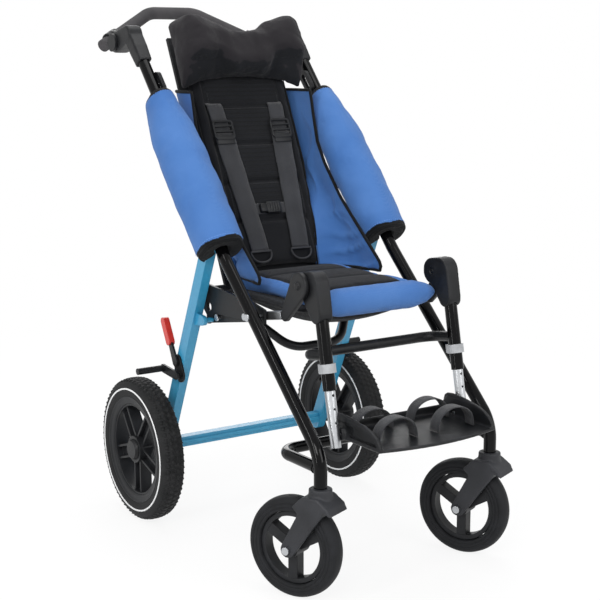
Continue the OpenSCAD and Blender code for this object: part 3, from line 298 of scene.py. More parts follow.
def from_tree(tree, base=None, **inputs):
    """The plain mesh that a tree gives with these inputs, from an empty mesh or a given curve."""
    holder = placed("holder", base or bpy.data.meshes.new("base"))
    modifier = holder.modifiers.new("tree", "NODES")
    modifier.node_group = tree
    for socket in tree.interface.items_tree:
        if socket.in_out == "INPUT" and socket.name in inputs:
            modifier[socket.identifier] = inputs[socket.name]
    bpy.context.view_layer.update()
    mesh = baked(holder)
    bpy.data.objects.remove(holder)
    return mesh


def piece(name, meshes, body, stands_for=()):
    """One object from one or more meshes in their own finishes, riding on a body."""
    whole = bmesh.new()
    finishes = []
    for mesh in meshes:
        finishes += [m for m in mesh.materials if m and m not in finishes]
        start = len(whole.faces)
        whole.from_mesh(mesh)
        whole.faces.ensure_lookup_table()
        for face in whole.faces[start:]:
            face.material_index = finishes.index(mesh.materials[face.material_index])
            face.smooth = True
    result = bpy.data.meshes.new(name)
    whole.to_mesh(result)
    whole.free()
    for material in finishes:
        result.materials.append(material)
    made = placed(name, result)
    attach(made, body)
    if stands_for:
        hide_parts(*stands_for)
    return made


def facing(centre, along_x):
    """The matrix that puts something built about X in its place, with X turned to a given direction."""
    across = Vector(along_x).normalized()
    side = Vector((0, 0, 1)).cross(across).normalized()
    if side.length < 0.5:
        side = Vector((0, 1, 0))
    up = across.cross(side)
    return Matrix.Translation(centre) @ Matrix((across, side, up)).transposed().to_4x4()


tube_x = 0.203
bead_tree = ring_tree("weld_bead", "UVSphere", Segments=8, Rings=5, Radius=0.5)
bead_rows = []
for side in (-1, 1):
    bead = from_tree(bead_tree, Count=26, Radius=0.0113, Offset=0.0, Start=0.0, Slant=0.5, Lean=0.0,
                     Size=(0.0042, 0.0036, 0.003), Finish=gloss_black.material)
    bead.transform(facing(Vector((side * tube_x, -0.3985, 0.254)), (0, 1, 0)))
    bead_rows.append(bead)
piece("cross_bar_weld_beads", bead_rows, "frame")

# Seat rails, side plates, calf bar, release bar and brake parts: pressed and bent steel in satin black
# powder coat, with a fine grain and paler worn edges at the holes and ends.
satin_black = coated(
    "satin_black_powder_coat", ("#131416", "#222326"), spots=(34, 5), limits=(0.55, 0.8), rough=(0.38, 0.22),
    skin=((900, 2), 0.0003, 0.5), edge=0.0012, Specular_IOR_Level=0.24)
dress(satin_black, "seat_rails", "seat_side_plates", "calf_bar", "release_bar", "brake_clamps",
      "brake_lever_left", "brake_lever_right", "brake_shoe_left", "brake_shoe_right")

# Rear legs and their crossbar: oval steel tube in sky-blue powder coat, with faint speckle in the coat.
# They are the only painted parts in colour, and are bolted to the ears of the front tubes.
sky_blue = Finish("sky_blue_powder_coat", Specular_IOR_Level=0.4, Coat_Roughness=0.2)
speckle = sky_blue.clear(sky_blue.grain(160, 3), 0.3, 0.7)
patch = sky_blue.clear(sky_blue.grain(6, 3), 0.3, 0.7)
blue_coat = sky_blue.mix(paint("#2780a8"), paint("#3290b6"), patch)
sky_blue.feed("Base Color", sky_blue.mix(blue_coat, paint("#469fc2"), speckle * 0.25))
sky_blue.feed("Roughness", 0.34 + patch * 0.14)
sky_blue.feed("Coat Weight", 0.25 + speckle * 0.15)
sky_blue.relief(sky_blue.grain(650, 2), 0.0003, 0.4, 0.002)
dress(sky_blue, "rear_leg_left", "rear_leg_right", "rear_crossbar")

# Bolts, axles and the bar inside the push handle: bright zinc-plated steel, turned, so the light runs in
# fine rings and short scratches.
bright_steel = coated(
    "bright_zinc_steel", ("#a9acb0", "#d0d2d5"), spots=(240, 3), stretch=(1, 6, 6), rough=(0.2, 0.16),
    skin=(None, 0.0002, 0.35), edge=0.0008, Metallic=1.0)
dress(bright_steel, "frame_bolts", "rear_axles", "caster_axle_left", "caster_axle_right", "push_bar")

# Inner seat rails and foot tubes: drawn aluminium tube, silver anodised, with draw lines along its length
# and a row of index holes in the foot tubes.
silver = coated(
    "silver_anodised_tube", ("#b9bcc0", "#dfe1e3"), spots=(90, 4), stretch=(7, 7, 0.35), rough=(0.24, 0.16),
    skin=(None, 0.00015, 0.35), edge=0.0008, Metallic=1.0)
dress(silver, "inner_rails", "foot_tubes")

# Caster forks: die-cast alloy in anthracite coat. The cast skin is slightly grainy, and the edges of the
# crown and the legs are well rounded by the mould.
cast_grey = Finish("anthracite_casting", Specular_IOR_Level=0.3)
skin = cast_grey.grain(320, 4)
cloudy = cast_grey.clear(cast_grey.grain(18, 3), 0.3, 0.75)
cast_grey.tint("#242528", "#313236", cloudy)
cast_grey.feed("Roughness", 0.42 + skin * 0.2)
cast_grey.relief(skin, 0.0003, 0.6, 0.003)


def to_mesh(work, name, finish):
    """Closes a bmesh as a mesh in one finish."""
    mesh = bpy.data.meshes.new(name)
    work.to_mesh(mesh)
    work.free()
    mesh.materials.append(finish.material)
    return mesh


def cover_of(node, finish, tuck=0.0, join=0.0002):
    """A copy of a solid with its points joined, drawn in by a tuck where a fill is to swell it back."""
    work = bmesh.new()
    work.from_mesh(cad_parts[node].data)
    bmesh.ops.remove_doubles(work, verts=work.verts, dist=join)
    work.normal_update()
    for vertex in work.verts:
        vertex.co -= vertex.normal * tuck
    return to_mesh(work, node + "_cover", finish)


def evened(made, voxel, rounds):
    """Gives an object an even net of its own finishes, smoothed a number of times."""
    remesh = made.modifiers.new("remesh", "REMESH")
    remesh.mode = "VOXEL"
    remesh.voxel_size = voxel
    even = baked(made)
    made.modifiers.remove(remesh)
    work = bmesh.new()
    work.from_mesh(even)
    for _ in range(rounds):
        bmesh.ops.smooth_vert(work, verts=work.verts, factor=0.5, use_axis_x=True, use_axis_y=True, use_axis_z=True)
    for face in work.faces:
        face.smooth = True
        face.material_index = 0
    work.to_mesh(even)
    work.free()
    even.materials.clear()
    for material in made.data.materials:
        even.materials.append(material)
    made.data = even


def softened(node, body, finish, voxel, rounds):
    """A moulded or cast solid with its edges rounded as the mould leaves them, in the solid's place."""
    made = piece(node + "_moulded", [cover_of(node, finish, join=0.00005)], body, stands_for=(node,))
    evened(made, voxel, rounds)
    return made


for label in ("left", "right"):
    softened(f"caster_fork_{label}", f"caster_{label}", cast_grey, 0.0016, 9)

# Moulded nylon parts: handle brackets and clamps, strap anchors, knee housings, hub caps and footplate.
# The moulds leave a leather-like grain, and edges shine a little where they are handled.
nylon = Finish("black_moulded_nylon", Specular_IOR_Level=0.24)
leathery = nylon.cells(620.0, feature="DISTANCE_TO_EDGE")
handled = nylon.clear(nylon.grain(22, 4), 0.45, 0.75)
nylon.tint("#161719", "#222326", handled)
nylon.feed("Roughness", 0.36 + handled * 0.2)
nylon.relief(leathery, 0.0004, 0.5, 0.0022)
dress(nylon, "handle_buttons", "strap_anchors", "rear_hub_cap_left", "rear_hub_cap_right")
tube_top, tube_run = Vector((0.0, 0.26487, 0.990)), Vector((0.0, 0.6587, 0.7524))
foot_reach, foot_rise, foot_waist = 0.055, 0.017, 0.1
for name, body, voxel, rounds in (
    ("handle_brackets", "frame", 0.0018, 16),
    ("handle_clamps", "push_handle", 0.0016, 14),
    ("knee_brackets", "seat_slider", 0.0012, 6),
    ("knee_housings", "leg_rest", 0.0015, 9),
    ("footplate", "foot_support", 0.0018, 5),
):
    moulding = softened(name, body, nylon, voxel, rounds)
    if name == "handle_brackets":
        foot = min((v.co - tube_top).dot(tube_run) for v in moulding.data.vertices)
        for vertex in moulding.data.vertices:
            centre = tube_top + Vector((copysign(tube_x, vertex.co.x), 0, 0))
            run = (vertex.co - centre).dot(tube_run)
            near_foot = max(0.0, 1 - (run - foot) / foot_reach)
            spread = vertex.co - centre - tube_run * run
            vertex.co = centre + tube_run * (run + foot_rise * near_foot) + spread * (1 - foot_waist * near_foot)
        moulding.data.update()


def plate(outline, thick, edge, finish):
    """A flat moulded plate of a given outline in Y and Z, thick along X, with its edges rounded."""
    work = bmesh.new()
    face = work.faces.new([work.verts.new((-thick / 2, y, z)) for y, z in outline])
    grown = bmesh.ops.extrude_face_region(work, geom=[face])["geom"]
    bmesh.ops.translate(work, vec=(thick, 0, 0), verts=[g for g in grown if isinstance(g, bmesh.types.BMVert)])
    bmesh.ops.recalc_face_normals(work, faces=work.faces)
    sharp = [e for e in work.edges if e.calc_face_angle(0.0) > 0.8]
    bmesh.ops.bevel(work, geom=sharp, offset=edge, segments=3, profile=0.5, affect="EDGES")
    return to_mesh(work, "plate", finish)


wing_line = [(-0.354, 0.2995), (-0.354, 0.326), (-0.357, 0.334), (-0.364, 0.3385)]
wing_turns = [pi / 2 * k / 18 for k in range(19)]
wing_line += [(-0.376 - 0.118 * sin(a), 0.2995 + 0.0405 * cos(a)) for a in wing_turns]
wing_x, wing_thick, wing_edge = 0.1332, 0.0056, 0.0016
wings = []
for side in (-1, 1):
    wing = plate(wing_line, wing_thick, wing_edge, nylon)
    wing.transform(Matrix.Translation((side * wing_x, 0, 0)))
    wings.append(wing)
piece("footplate_wings", wings, "foot_support")

# Tube clamps and stem bushes: pale grey acetal rings, smooth, with a little dirt in the corners.
# The clamps close round the hanger tubes, and the bushes carry the stems of the casters.
acetal = coated(
    "pale_grey_acetal", ("#a3a5a8", "#85878a"), spots=(60, 4), limits=(0.4, 0.8), rough=(0.35, 0.25),
    skin=((500, 2), 0.0002, 0.3), edge=0.0012, Specular_IOR_Level=0.5)
dress(acetal, "tube_clamps", "stem_bushes")

# Brake grips: red vinyl sleeves dipped over the lever ends, glossy with a faint flow in the surface.
# They are the only red parts, so that the brakes are easy to find.
red_vinyl = coated(
    "red_dipped_vinyl", ("#b3221a", "#d2372b"), spots=(70, 3), rough=(0.3, 0.18), coat=(0.2, 0.2),
    skin=(None, 0.0004, 0.3), edge=0.0015, Specular_IOR_Level=0.5, Coat_Roughness=0.15)
dress(red_vinyl, "brake_grip_left", "brake_grip_right")

# Push handle grip: a full-length sleeve of dark grey foam rubber on the bent bar.
# It is matt, with open pores in its skin and paler patches where hands wear it.
foam = Finish("dark_foam_grip", Specular_IOR_Level=0.3)
pores = foam.cells(900.0)
worn = foam.clear(foam.grain(16, 4), 0.4, 0.75)
foam.tint("#3a393b", "#4d4b4d", worn)
foam.feed("Roughness", 0.72 + pores * 0.2)
foam.relief(pores, 0.0005, 0.6)
dress(foam, "handle_grip")

# Rear wheels: 12 inch spoked rims of glass-filled nylon with air tyres. Each tyre is black rubber with four
# rows of slanted tread blocks and a white reflective ring moulded into both side walls.
rim_grey = coated(
    "dark_grey_rim_nylon", ("#1a1b1d", "#27282b"), spots=(26, 4), limits=(0.35, 0.75), rough=(0.38, 0.2),
    skin=((700, 2), 0.0003, 0.4), edge=0.002, Specular_IOR_Level=0.22)
dress(rim_grey, "rear_rim_left", "rear_rim_right", "caster_rim_left", "caster_rim_right")

rubber = coated(
    "black_tyre_rubber", ("#151617", "#2b2b2c"), spots=(40, 5), limits=(0.35, 0.8), rough=(0.62, 0.25),
    skin=((600, 3), 0.0004, 0.5), Specular_IOR_Level=0.22)

reflective = Finish("white_reflective_ring", Specular_IOR_Level=0.5)
beads = reflective.cells(1500.0)
reflective.tint("#d9dadb", "#f2f2f2", beads)
reflective.feed("Roughness", 0.3 + beads * 0.3)
reflective.relief(beads, 0.0002, 0.4)


def skinned(name, points, faces, finish):
    """A mesh of points and faces, with all its faces turned outwards."""
    mesh = bpy.data.meshes.new(name)
    mesh.from_pydata(points, [], faces)
    work = bmesh.new()
    work.from_mesh(mesh)
    bmesh.ops.recalc_face_normals(work, faces=work.faces)
    work.to_mesh(mesh)
    work.free()
    mesh.materials.append(finish.material)
    return mesh


def lofted(name, rings, finish, closed=False):
    """A skin over rings of points, each ring closed, with flat ends or joined end to end."""
    rows, count = len(rings), len(rings[0])
    faces = []
    for i in range(rows if closed else rows - 1):
        here, there = i * count, (i + 1) % rows * count
        faces += [(here + j, here + (j + 1) % count, there + (j + 1) % count, there + j) for j in range(count)]
    if not closed:
        faces += [tuple(range(count)), tuple(range((rows - 1) * count, rows * count))]
    return skinned(name, [tuple(p) for ring in rings for p in ring], faces, finish)


def turned_ring(name, outline, finish):
    """A closed outline of (radius, offset along X) spun about X."""
    turns = [2 * pi * i / 120 for i in range(120)]
    rings = [[(x, r * cos(a), r * sin(a)) for r, x in outline] for a in turns]
    return lofted(name, rings, finish, closed=True)


def mirrored(outline):
    """The same outline on the other side of the wheel."""
    return [(r, -x) for r, x in outline]


def both_ways(half):
    """A half outline and its mirror image in one closed outline."""
    return half + mirrored(reversed(half))


tread_tree = ring_tree("tread_row", "Cube", Size=(1, 1, 1))
tread_rows = ((-0.0165, 0.1496, -0.4, -0.46, 0.0), (-0.0056, 0.1523, 0.5, -0.08, 0.043),
              (0.0056, 0.1523, -0.5, 0.08, 0.0), (0.0165, 0.1496, 0.4, 0.46, 0.043))
rear_wall = both_ways([
    (0.1081, 0.0168), (0.1105, 0.0195), (0.114, 0.0222), (0.119, 0.0244), (0.125, 0.0257), (0.132, 0.0261),
    (0.139, 0.0254), (0.1450, 0.0234), (0.1500, 0.0190), (0.1526, 0.0128), (0.1536, 0.006),
])
rear_flange = [
    (0.0985, 0.0158), (0.0985, 0.0176), (0.101, 0.0196), (0.106, 0.0206), (0.111, 0.0212), (0.1135, 0.0228),
    (0.1152, 0.0236), (0.1158, 0.0228), (0.1145, 0.0216), (0.110, 0.0190), (0.1075, 0.0165),
]
white_line = [(0.1302, 0.0258), (0.1306, 0.0269), (0.1322, 0.0272), (0.1338, 0.0269), (0.1342, 0.0256)]
for label in ("right", "left"):
    low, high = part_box(f"rear_tyre_{label}")
    stand = facing((Vector(low) + Vector(high)) / 2, (1, 0, 0))
    tyre_parts = [turned_ring("tyre_wall", rear_wall, rubber)]
    for offset, radius, slant, lean, start in tread_rows:
        tyre_parts.append(from_tree(
            tread_tree, Count=72, Radius=radius, Offset=offset, Start=start, Slant=slant, Lean=lean,
            Size=(0.0082, 0.0094, 0.004), Finish=rubber.material))
    lines = [turned_ring("line", line, reflective) for line in (white_line, mirrored(white_line))]
    flanges = [turned_ring("flange", line, rim_grey) for line in (rear_flange, mirrored(rear_flange))]
    for part in tyre_parts + lines + flanges:
        part.transform(stand)
    piece(f"rear_tyre_with_tread_{label}", tyre_parts, f"rear_wheel_{label}",
          stands_for=(f"rear_tyre_{label}",))
    piece(f"reflective_rings_{label}", lines, f"rear_wheel_{label}")
    piece(f"rim_flanges_{label}", flanges, f"rear_wheel_{label}")

# Caster wheels: smooth solid tyres of dark grey rubber on three-spoke rims, with two fine grooves turned in
# each side wall and a shallow rib round the middle of the tread.
caster_rubber = coated(
    "dark_grey_caster_rubber", ("#151618", "#242528"), spots=(46, 5), limits=(0.35, 0.8), rough=(0.55, 0.25),
    skin=((600, 3), 0.0003, 0.4), Specular_IOR_Level=0.2)
swivel = radians(23.5)
caster_axis = Vector((cos(swivel), sin(swivel), 0))
caster_trail, stem_y, caster_axle_z = 0.054, -0.4125, 0.0975
caster_wall = both_ways([
    (0.0705, 0.0172), (0.0725, 0.0180), (0.0755, 0.0182), (0.0762, 0.0172), (0.0772, 0.0172), (0.078, 0.0182),
    (0.0825, 0.0183), (0.0832, 0.0173), (0.0842, 0.0173), (0.085, 0.0181), (0.0895, 0.0172), (0.0935, 0.0144),
    (0.0958, 0.0100), (0.0968, 0.0052), (0.0971, 0.0034), (0.0974, 0.0018),
])
both_sides = ((-1, "right"), (1, "left"))
for side, label in both_sides:
    low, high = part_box(f"caster_rim_{label}")
    inner = (high[2] - low[2]) / 2 + 0.0002
    centre = Vector((side * tube_x - caster_trail * sin(swivel), stem_y + caster_trail * cos(swivel),
                     caster_axle_z))
    tyre = turned_ring("caster_wall", [(max(r, inner), x) for r, x in caster_wall], caster_rubber)
    tyre.transform(facing(centre, caster_axis))
    piece(f"caster_tyre_grooved_{label}", [tyre], f"caster_wheel_{label}",
          stands_for=(f"caster_tyre_{label}",))


# Bolsters: a padded blue sleeve is wrapped round each front tube above its knee and closed behind it. Its ends
# and its closing edges are bound with black tape, and the foam inside makes the cover round and softly creased.
def woven(name, dark, light, thread, sheen):
    """Plain-woven polyester: a fine weave, a slow change of tone and small soft creases."""
    cloth = Finish(name, Sheen_Weight=sheen, Sheen_Roughness=0.45, Specular_IOR_Level=0.12)
    spot = cloth.add("ShaderNodeTexCoord", out="Object")
    axes = [cloth.add("ShaderNodeSeparateXYZ", {0: spot}, out=i) for i in range(3)]
    lines = [cloth.wave(axis * (2 * pi / thread)) for axis in axes]
    weave = lines[0] * lines[1] + lines[1] * lines[2] + lines[2] * lines[0]
    tone = cloth.clear(cloth.grain(8, 5), 0.25, 0.75)
    crease = cloth.grain(36, 4)
    cloth.tint(dark, light, tone * 0.75 + weave * 0.1 + crease * 0.25 - 0.12)
    cloth.feed("Roughness", 0.72 + crease * 0.2)
    cloth.relief(weave * 0.12 + crease, 0.0016, 0.55)
    return cloth


blue_cloth = woven("blue_woven_polyester", "#3a65a2", "#5079b4", 0.0014, 0.12)
black_tape = woven("black_binding_tape", "#0e0f10", "#191a1c", 0.0011, 0.06)
black_cloth = woven("black_woven_polyester", "#121316", "#1f2023", 0.0014, 0.07)


def piping(name, line, radius, finish, closed=False, up=(0, 0, 1)):
    """Round binding that follows a line of points."""
    line = [Vector(p) for p in line]
    count, reference, rings = len(line), Vector(up), []
    turns = [2 * pi * k / 8 for k in range(8)]
    for i, spot in enumerate(line):
        ahead = line[(i + 1) % count] if closed or i < count - 1 else spot
        behind = line[(i - 1) % count] if closed or i > 0 else spot
        run = (ahead - behind).normalized()
        side = run.cross(reference)
        if side.length < 1e-4:
            side = run.orthogonal()
        side.normalize()
        over = side.cross(run)
        reference = over if i else reference
        rings.append([spot + side * radius * cos(a) + over * radius * sin(a) for a in turns])
    return lofted(name, rings, finish, closed)


def swollen(made, swell, pressure, spare):
    """Runs a cover as cloth under pressure from inside, with spare cloth, and holds it to a largest swell."""
    last_step = 20
    start = [v.co.copy() for v in made.data.vertices]
    cloth = made.modifiers.new("cover", "CLOTH")
    cloth.settings.use_pressure = True
    cloth.settings.uniform_pressure_force = pressure
    cloth.settings.effector_weights.gravity = 0.0
    cloth.settings.shrink_min = -spare
    cloth.settings.bending_stiffness = 0.2
    cloth.settings.quality = 4
    cloth.collision_settings.use_collision = False
    cloth.collision_settings.use_self_collision = False
    cloth.point_cache.frame_start = 1
    cloth.point_cache.frame_end = last_step
    for step in range(1, last_step + 1):
        scene.frame_set(step)
    full = made.evaluated_get(bpy.context.evaluated_depsgraph_get()).data
    moved = [v.co.copy() for v in full.vertices]
    made.modifiers.remove(cloth)
    scene.frame_set(1)
    for vertex, was, now in zip(made.data.vertices, start, moved):
        shift = now - was
        if shift.length > swell:
            shift *= swell / shift.length
        vertex.co = was + shift
    made.data.update()


def stuffed(made, voxel, swell, pressure=4.0, spare=0.03, rounds=4):
    """Gives a cover its fill: an even net, a swell and one applied subdivision."""
    evened(made, voxel, rounds)
    swollen(made, swell, pressure, spare)
    soft = made.modifiers.new("soft", "SUBSURF")
    soft.levels = soft.render_levels = 1
    mesh = baked(made)
    made.modifiers.remove(soft)
    made.data = mesh
    for face in mesh.polygons:
        face.use_smooth = True


def pressed(made, depth_at):
    """Moves each point of a cover inwards along its normal by the depth that a seam gives there."""
    normals = [v.normal.copy() for v in made.data.vertices]
    for vertex, normal in zip(made.data.vertices, normals):
        depth = depth_at(vertex.co)
        if depth:
            vertex.co -= normal * depth
    made.data.update()


stitch, given = new_tree("stitch_row", Geometry="Geometry", Pitch="Float", Size="Vector", Finish="Material")
seam_line = {"Curve": given["Geometry"], "Length": given["Pitch"]}
even_line = stitch.add("GeometryNodeResampleCurve", seam_line, mode="LENGTH")
lie = stitch.add("FunctionNodeAlignRotationToVector", {"Vector": stitch.add("GeometryNodeInputTangent")}, axis="X")
thread_shape = sized(stitch, given, "UVSphere", Segments=6, Rings=4, Radius=0.5)
stitch_tree = repeated(stitch, given, thread_shape, Points=even_line, Rotation=lie)


def stitches(lines, finish, pitch=0.0055, size=(0.0036, 0.0009, 0.0009)):
    """Rows of lockstitches along lines of points."""
    curve = bpy.data.curves.new("seam", "CURVE")
    curve.dimensions = "3D"
    for line in lines:
        spline = curve.splines.new("POLY")
        spline.points.add(len(line) - 1)
        for point, spot in zip(spline.points, line):
            point.co = (*spot, 1.0)
    return from_tree(stitch_tree, curve, Pitch=pitch, Size=size, Finish=finish.material)


thread_blue = woven("blue_sewing_thread", "#5f8fd8", "#8db1e8", 0.0006, 0.2)
thread_black = woven("black_sewing_thread", "#232427", "#3a3b3f", 0.0006, 0.2)
knee = Vector((0.0, -0.0871, 0.588))
behind_tube = Vector((0.0, 0.7524, -0.6587))
sleeve_start, sleeve_len = 0.032, 0.390
sleeve_across, sleeve_deep, sleeve_bore = 0.0475, 0.0425, 0.0142
sleeve_rows, sleeve_around = 54, 56
slit, slit_foot = 0.30, 0.56


def clamp(value):
    return min(1.0, max(0.0, value))


def sleeve_centre(side, share):
    return Vector((side * tube_x, 0, 0)) + knee + tube_run * (sleeve_start + sleeve_len * share)


def sleeve_half(share):
    """Half the angle that the sleeve leaves open behind the tube, wider round its foot."""
    return slit + (slit_foot - slit) * clamp((0.29 - share) / 0.06)


def sleeve_turns(half, count):
    return [half + (2 * pi - 2 * half) * k / count for k in range(count + 1)]


def sleeve_point(side, share, angle, grow=1.0):
    """A point of the sleeve: share runs up the tube, and the angle turns from behind the tube round its outside."""
    taper = 1.0 - 0.5 * max(0.0, (share - 0.70) / 0.30) ** 1.25
    bulge = 0.94 + 0.06 * sin(pi * min(1.0, share * 1.25)) + 0.03 * (1 - share)
    end = 1.0 - 0.14 * (max(0.0, 0.03 - share) / 0.03) ** 2 - 0.3 * (max(0.0, share - 0.975) / 0.025) ** 2
    across = sleeve_across * taper * bulge * end * grow
    deep = sleeve_deep * (1.0 - 0.35 * (1 - taper)) * bulge * end * grow
    wrinkle = noise.noise(Vector((side * 3 + share * 9, cos(angle) * 1.1, sin(angle) * 1.1))) * 0.0028
    wrinkle += noise.noise(Vector((share * 26, cos(angle) * 2.2 + side, sin(angle) * 2.2))) * 0.0011
    flat = abs(cos(angle)) ** 0.8 * copysign(1, cos(angle))
    wide = abs(sin(angle)) ** 0.86 * copysign(1, sin(angle))
    out = Vector((side, 0, 0)) * wide * (across + wrinkle)
    return sleeve_centre(side, share) + behind_tube * flat * (deep + wrinkle) + out


for side, label in both_sides:
    rings = []
    for row in range(sleeve_rows + 1):
        share = row / sleeve_rows
        turns = sleeve_turns(sleeve_half(share), sleeve_around)
        inner = [
            sleeve_centre(side, share) + (behind_tube * cos(a) + Vector((side, 0, 0)) * sin(a)) * sleeve_bore
            for a in reversed(turns)
        ]
        rings.append([sleeve_point(side, share, a) for a in turns] + inner)
    cover = piece(f"bolster_cover_{label}", [lofted("cover", rings, blue_cloth)], "frame",
                  stands_for=(f"bolster_{label}",))
    stuffed(cover, 0.0045, 0.006, 2.5, 0.02, 2)
    cover.data.materials.append(black_tape.material)
    for polygon in cover.data.polygons:
        spot = polygon.center - knee - Vector((side * tube_x, 0, 0))
        run = spot.dot(tube_run)
        ripple = 0.002 * sin(polygon.center.x * 90)
        lining = (spot - tube_run * run).length < 0.024
        if run < sleeve_start + 0.0085 + ripple or run > sleeve_start + sleeve_len - 0.011 or lining:
            polygon.material_index = 1
    edges = []
    for share, size in ((0.006, 0.0036), (0.994, 0.003)):
        rim = [sleeve_point(side, share, a, 1.01) for a in sleeve_turns(sleeve_half(share), 60)]
        edges.append(piping("end_tape", rim, size, black_tape, up=tube_run))
    shares = [0.004 + 0.992 * k / 48 for k in range(49)]
    for sign in (1, -1):
        seam = [sleeve_point(side, share, sign * sleeve_half(share), 1.01) for share in shares]
        edges.append(piping("edge_tape", seam, 0.0036, black_tape, up=behind_tube))
    rows = [
        [sleeve_point(side, share, a, 1.035) for a in sleeve_turns(sleeve_half(share) + 0.06, 60)]
        for share in (0.03, 0.972)
    ]
    piece(f"bolster_tape_{label}", edges, "frame")
    piece(f"bolster_stitches_{label}", [stitches(rows, thread_blue)], "frame")


# Seat: a black sling carries a quilted cushion with a black middle and blue side borders, and a blue padded
# roll is sewn along its front. All three are woven covers over foam.
def cushion(node, finish, body, slot, tuck, *fill):
    """The stuffed cover of a cushion, in its solid's place."""
    made = piece(node + "_cover", [cover_of(node, finish, tuck)], body, stands_for=(node,))
    stuffed(made, *fill)
    return made


def corners(node):
    return [Vector(corner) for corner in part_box(node)]


def dip(distance, width):
    """How far a seam draws the cover down at a distance from it: 1 on the seam, 0 away from it."""
    return exp(-(distance / width) ** 2)


sling = cushion("seat_sling", black_cloth, "frame", "black_fabric", 0.002, 0.005, 0.003, 1.5)
sling_low, sling_high = corners("seat_sling")
sling_half, sling_sag = 0.128, 0.022
for vertex in sling.data.vertices:
    across = max(0.0, 1 - (vertex.co.x / sling_half) ** 2)
    along = (vertex.co.y - sling_low.y) / (sling_high.y - sling_low.y)
    under = clamp((sling_high.z - 0.004 - vertex.co.z) / 0.012)
    hang = max(0.0, sin(pi * clamp(along + 0.12))) ** 0.6
    vertex.co.z -= sling_sag * across ** 0.7 * under * hang
sling.data.update()

seat = cushion("seat_cushion", black_cloth, "frame", "black_fabric", 0.004, 0.005, 0.007)
seat_low, seat_high = corners("seat_cushion")
border_x = 0.104
seat_rows = [seat_low.y + (seat_high.y - seat_low.y) * share for share in (1 / 3, 2 / 3)]


def seat_seam(spot):
    if spot.z < seat_low.z + 0.008:
        return 0.0
    depth = 0.004 * dip(abs(spot.x) - border_x, 0.004)
    if abs(spot.x) < border_x:
        depth += sum(0.003 * dip(spot.y - row, 0.005) for row in seat_rows)
    return depth


pressed(seat, seat_seam)
seat.data.materials.append(blue_cloth.material)
for polygon in seat.data.polygons:
    if abs(polygon.center.x) > border_x:
        polygon.material_index = 1

roll = cushion("seat_front_roll", blue_cloth, "frame", "blue_fabric", 0.004, 0.0045, 0.006)
roll_low, roll_high = corners("seat_front_roll")
roll_mid = (roll_low + roll_high) / 2


def roll_crease(spot):
    puckers = noise.noise(Vector((spot.x * 60, spot.y * 14, spot.z * 14)))
    near = dip(spot.z - roll_mid.z + 0.012, 0.012) if spot.y > roll_mid.y - 0.02 else 0.3
    return 0.0016 * puckers * (0.35 + near)


for vertex in roll.data.vertices:
    point = clamp((abs(vertex.co.x) - 0.085) / 0.047) ** 1.6
    vertex.co.x *= 1 + 0.045 * point
    vertex.co.z += (roll_mid.z + 0.004 - vertex.co.z) * 0.45 * point
    vertex.co.y += (roll_mid.y - vertex.co.y) * 0.2 * point
roll.data.update()
pressed(roll, roll_crease)

# Backrest: a stiff board carries a quilted black cushion. Its middle is open spacer mesh, sewn across into six
# channels between black borders, and black tape parts them from the blue cloth at the sides.
board_finish = woven("black_back_shell_cloth", "#161719", "#232427", 0.0016, 0.15)
dress(board_finish, "back_board")
back_lean = radians(25)
back_pivot_y, back_pivot_z = 0.0475, 0.512


def on_back(x, forward, up):
    """A point on the back, from its middle line, its front side and its pivot."""
    return Vector((
        x,
        back_pivot_y - forward * cos(back_lean) + up * sin(back_lean),
        back_pivot_z + forward * sin(back_lean) + up * cos(back_lean),
    ))


def back_place(spot):
    """The same three numbers for a point of the buggy: across, forward and up the back."""
    y, z = spot.y - back_pivot_y, spot.z - back_pivot_z
    forward = -y * cos(back_lean) + z * sin(back_lean)
    return spot.x, forward, y * sin(back_lean) + z * cos(back_lean)


up_back = on_back(0, 0, 1) - on_back(0, 0, 0)
spacer_mesh = Finish("black_spacer_mesh", Specular_IOR_Level=0.12, Sheen_Weight=0.06, Sheen_Roughness=0.5)
holes = spacer_mesh.add("ShaderNodeTexVoronoi",
                        {"Vector": spacer_mesh.place((1, 0.7, 0.7)), "Scale": 330.0, "Randomness": 0.25})
open_hole = spacer_mesh.clear(holes, 0.32, 0.5)
shade = spacer_mesh.clear(spacer_mesh.grain(9, 4), 0.3, 0.75)
mesh_tone = spacer_mesh.mix(paint("#151619"), paint("#1e1f22"), shade)
spacer_mesh.feed("Base Color", spacer_mesh.mix(paint("#0c0d0e"), mesh_tone, open_hole))
spacer_mesh.feed("Roughness", 0.7 + open_hole * 0.2)
spacer_mesh.relief(open_hole + spacer_mesh.grain(60, 3), 0.0012, 0.5)

back = cushion("back_cushion", spacer_mesh, "backrest", "black_fabric", 0.004, 0.0055, 0.007)
back_foot, back_head, back_front = 0.045, 0.565, 0.0398
quilt_lines = [back_foot + (back_head - back_foot) * k / 6 for k in range(1, 6)]
panel_x = 0.094


def back_seam(spot):
    across, forward, up = back_place(spot)
    if forward < 0.02:
        return 0.0
    depth = 0.0045 * dip(abs(across) - panel_x, 0.0045)
    if abs(across) < panel_x:
        depth += sum(0.0045 * dip(up - line, 0.006) for line in quilt_lines)
    return depth


def border_at(up):
    """Half the width of the black cover: narrow at the seat and as wide as the cushion at the shoulders."""
    return min(0.1195, 0.094 + 0.117 * (up - 0.04))


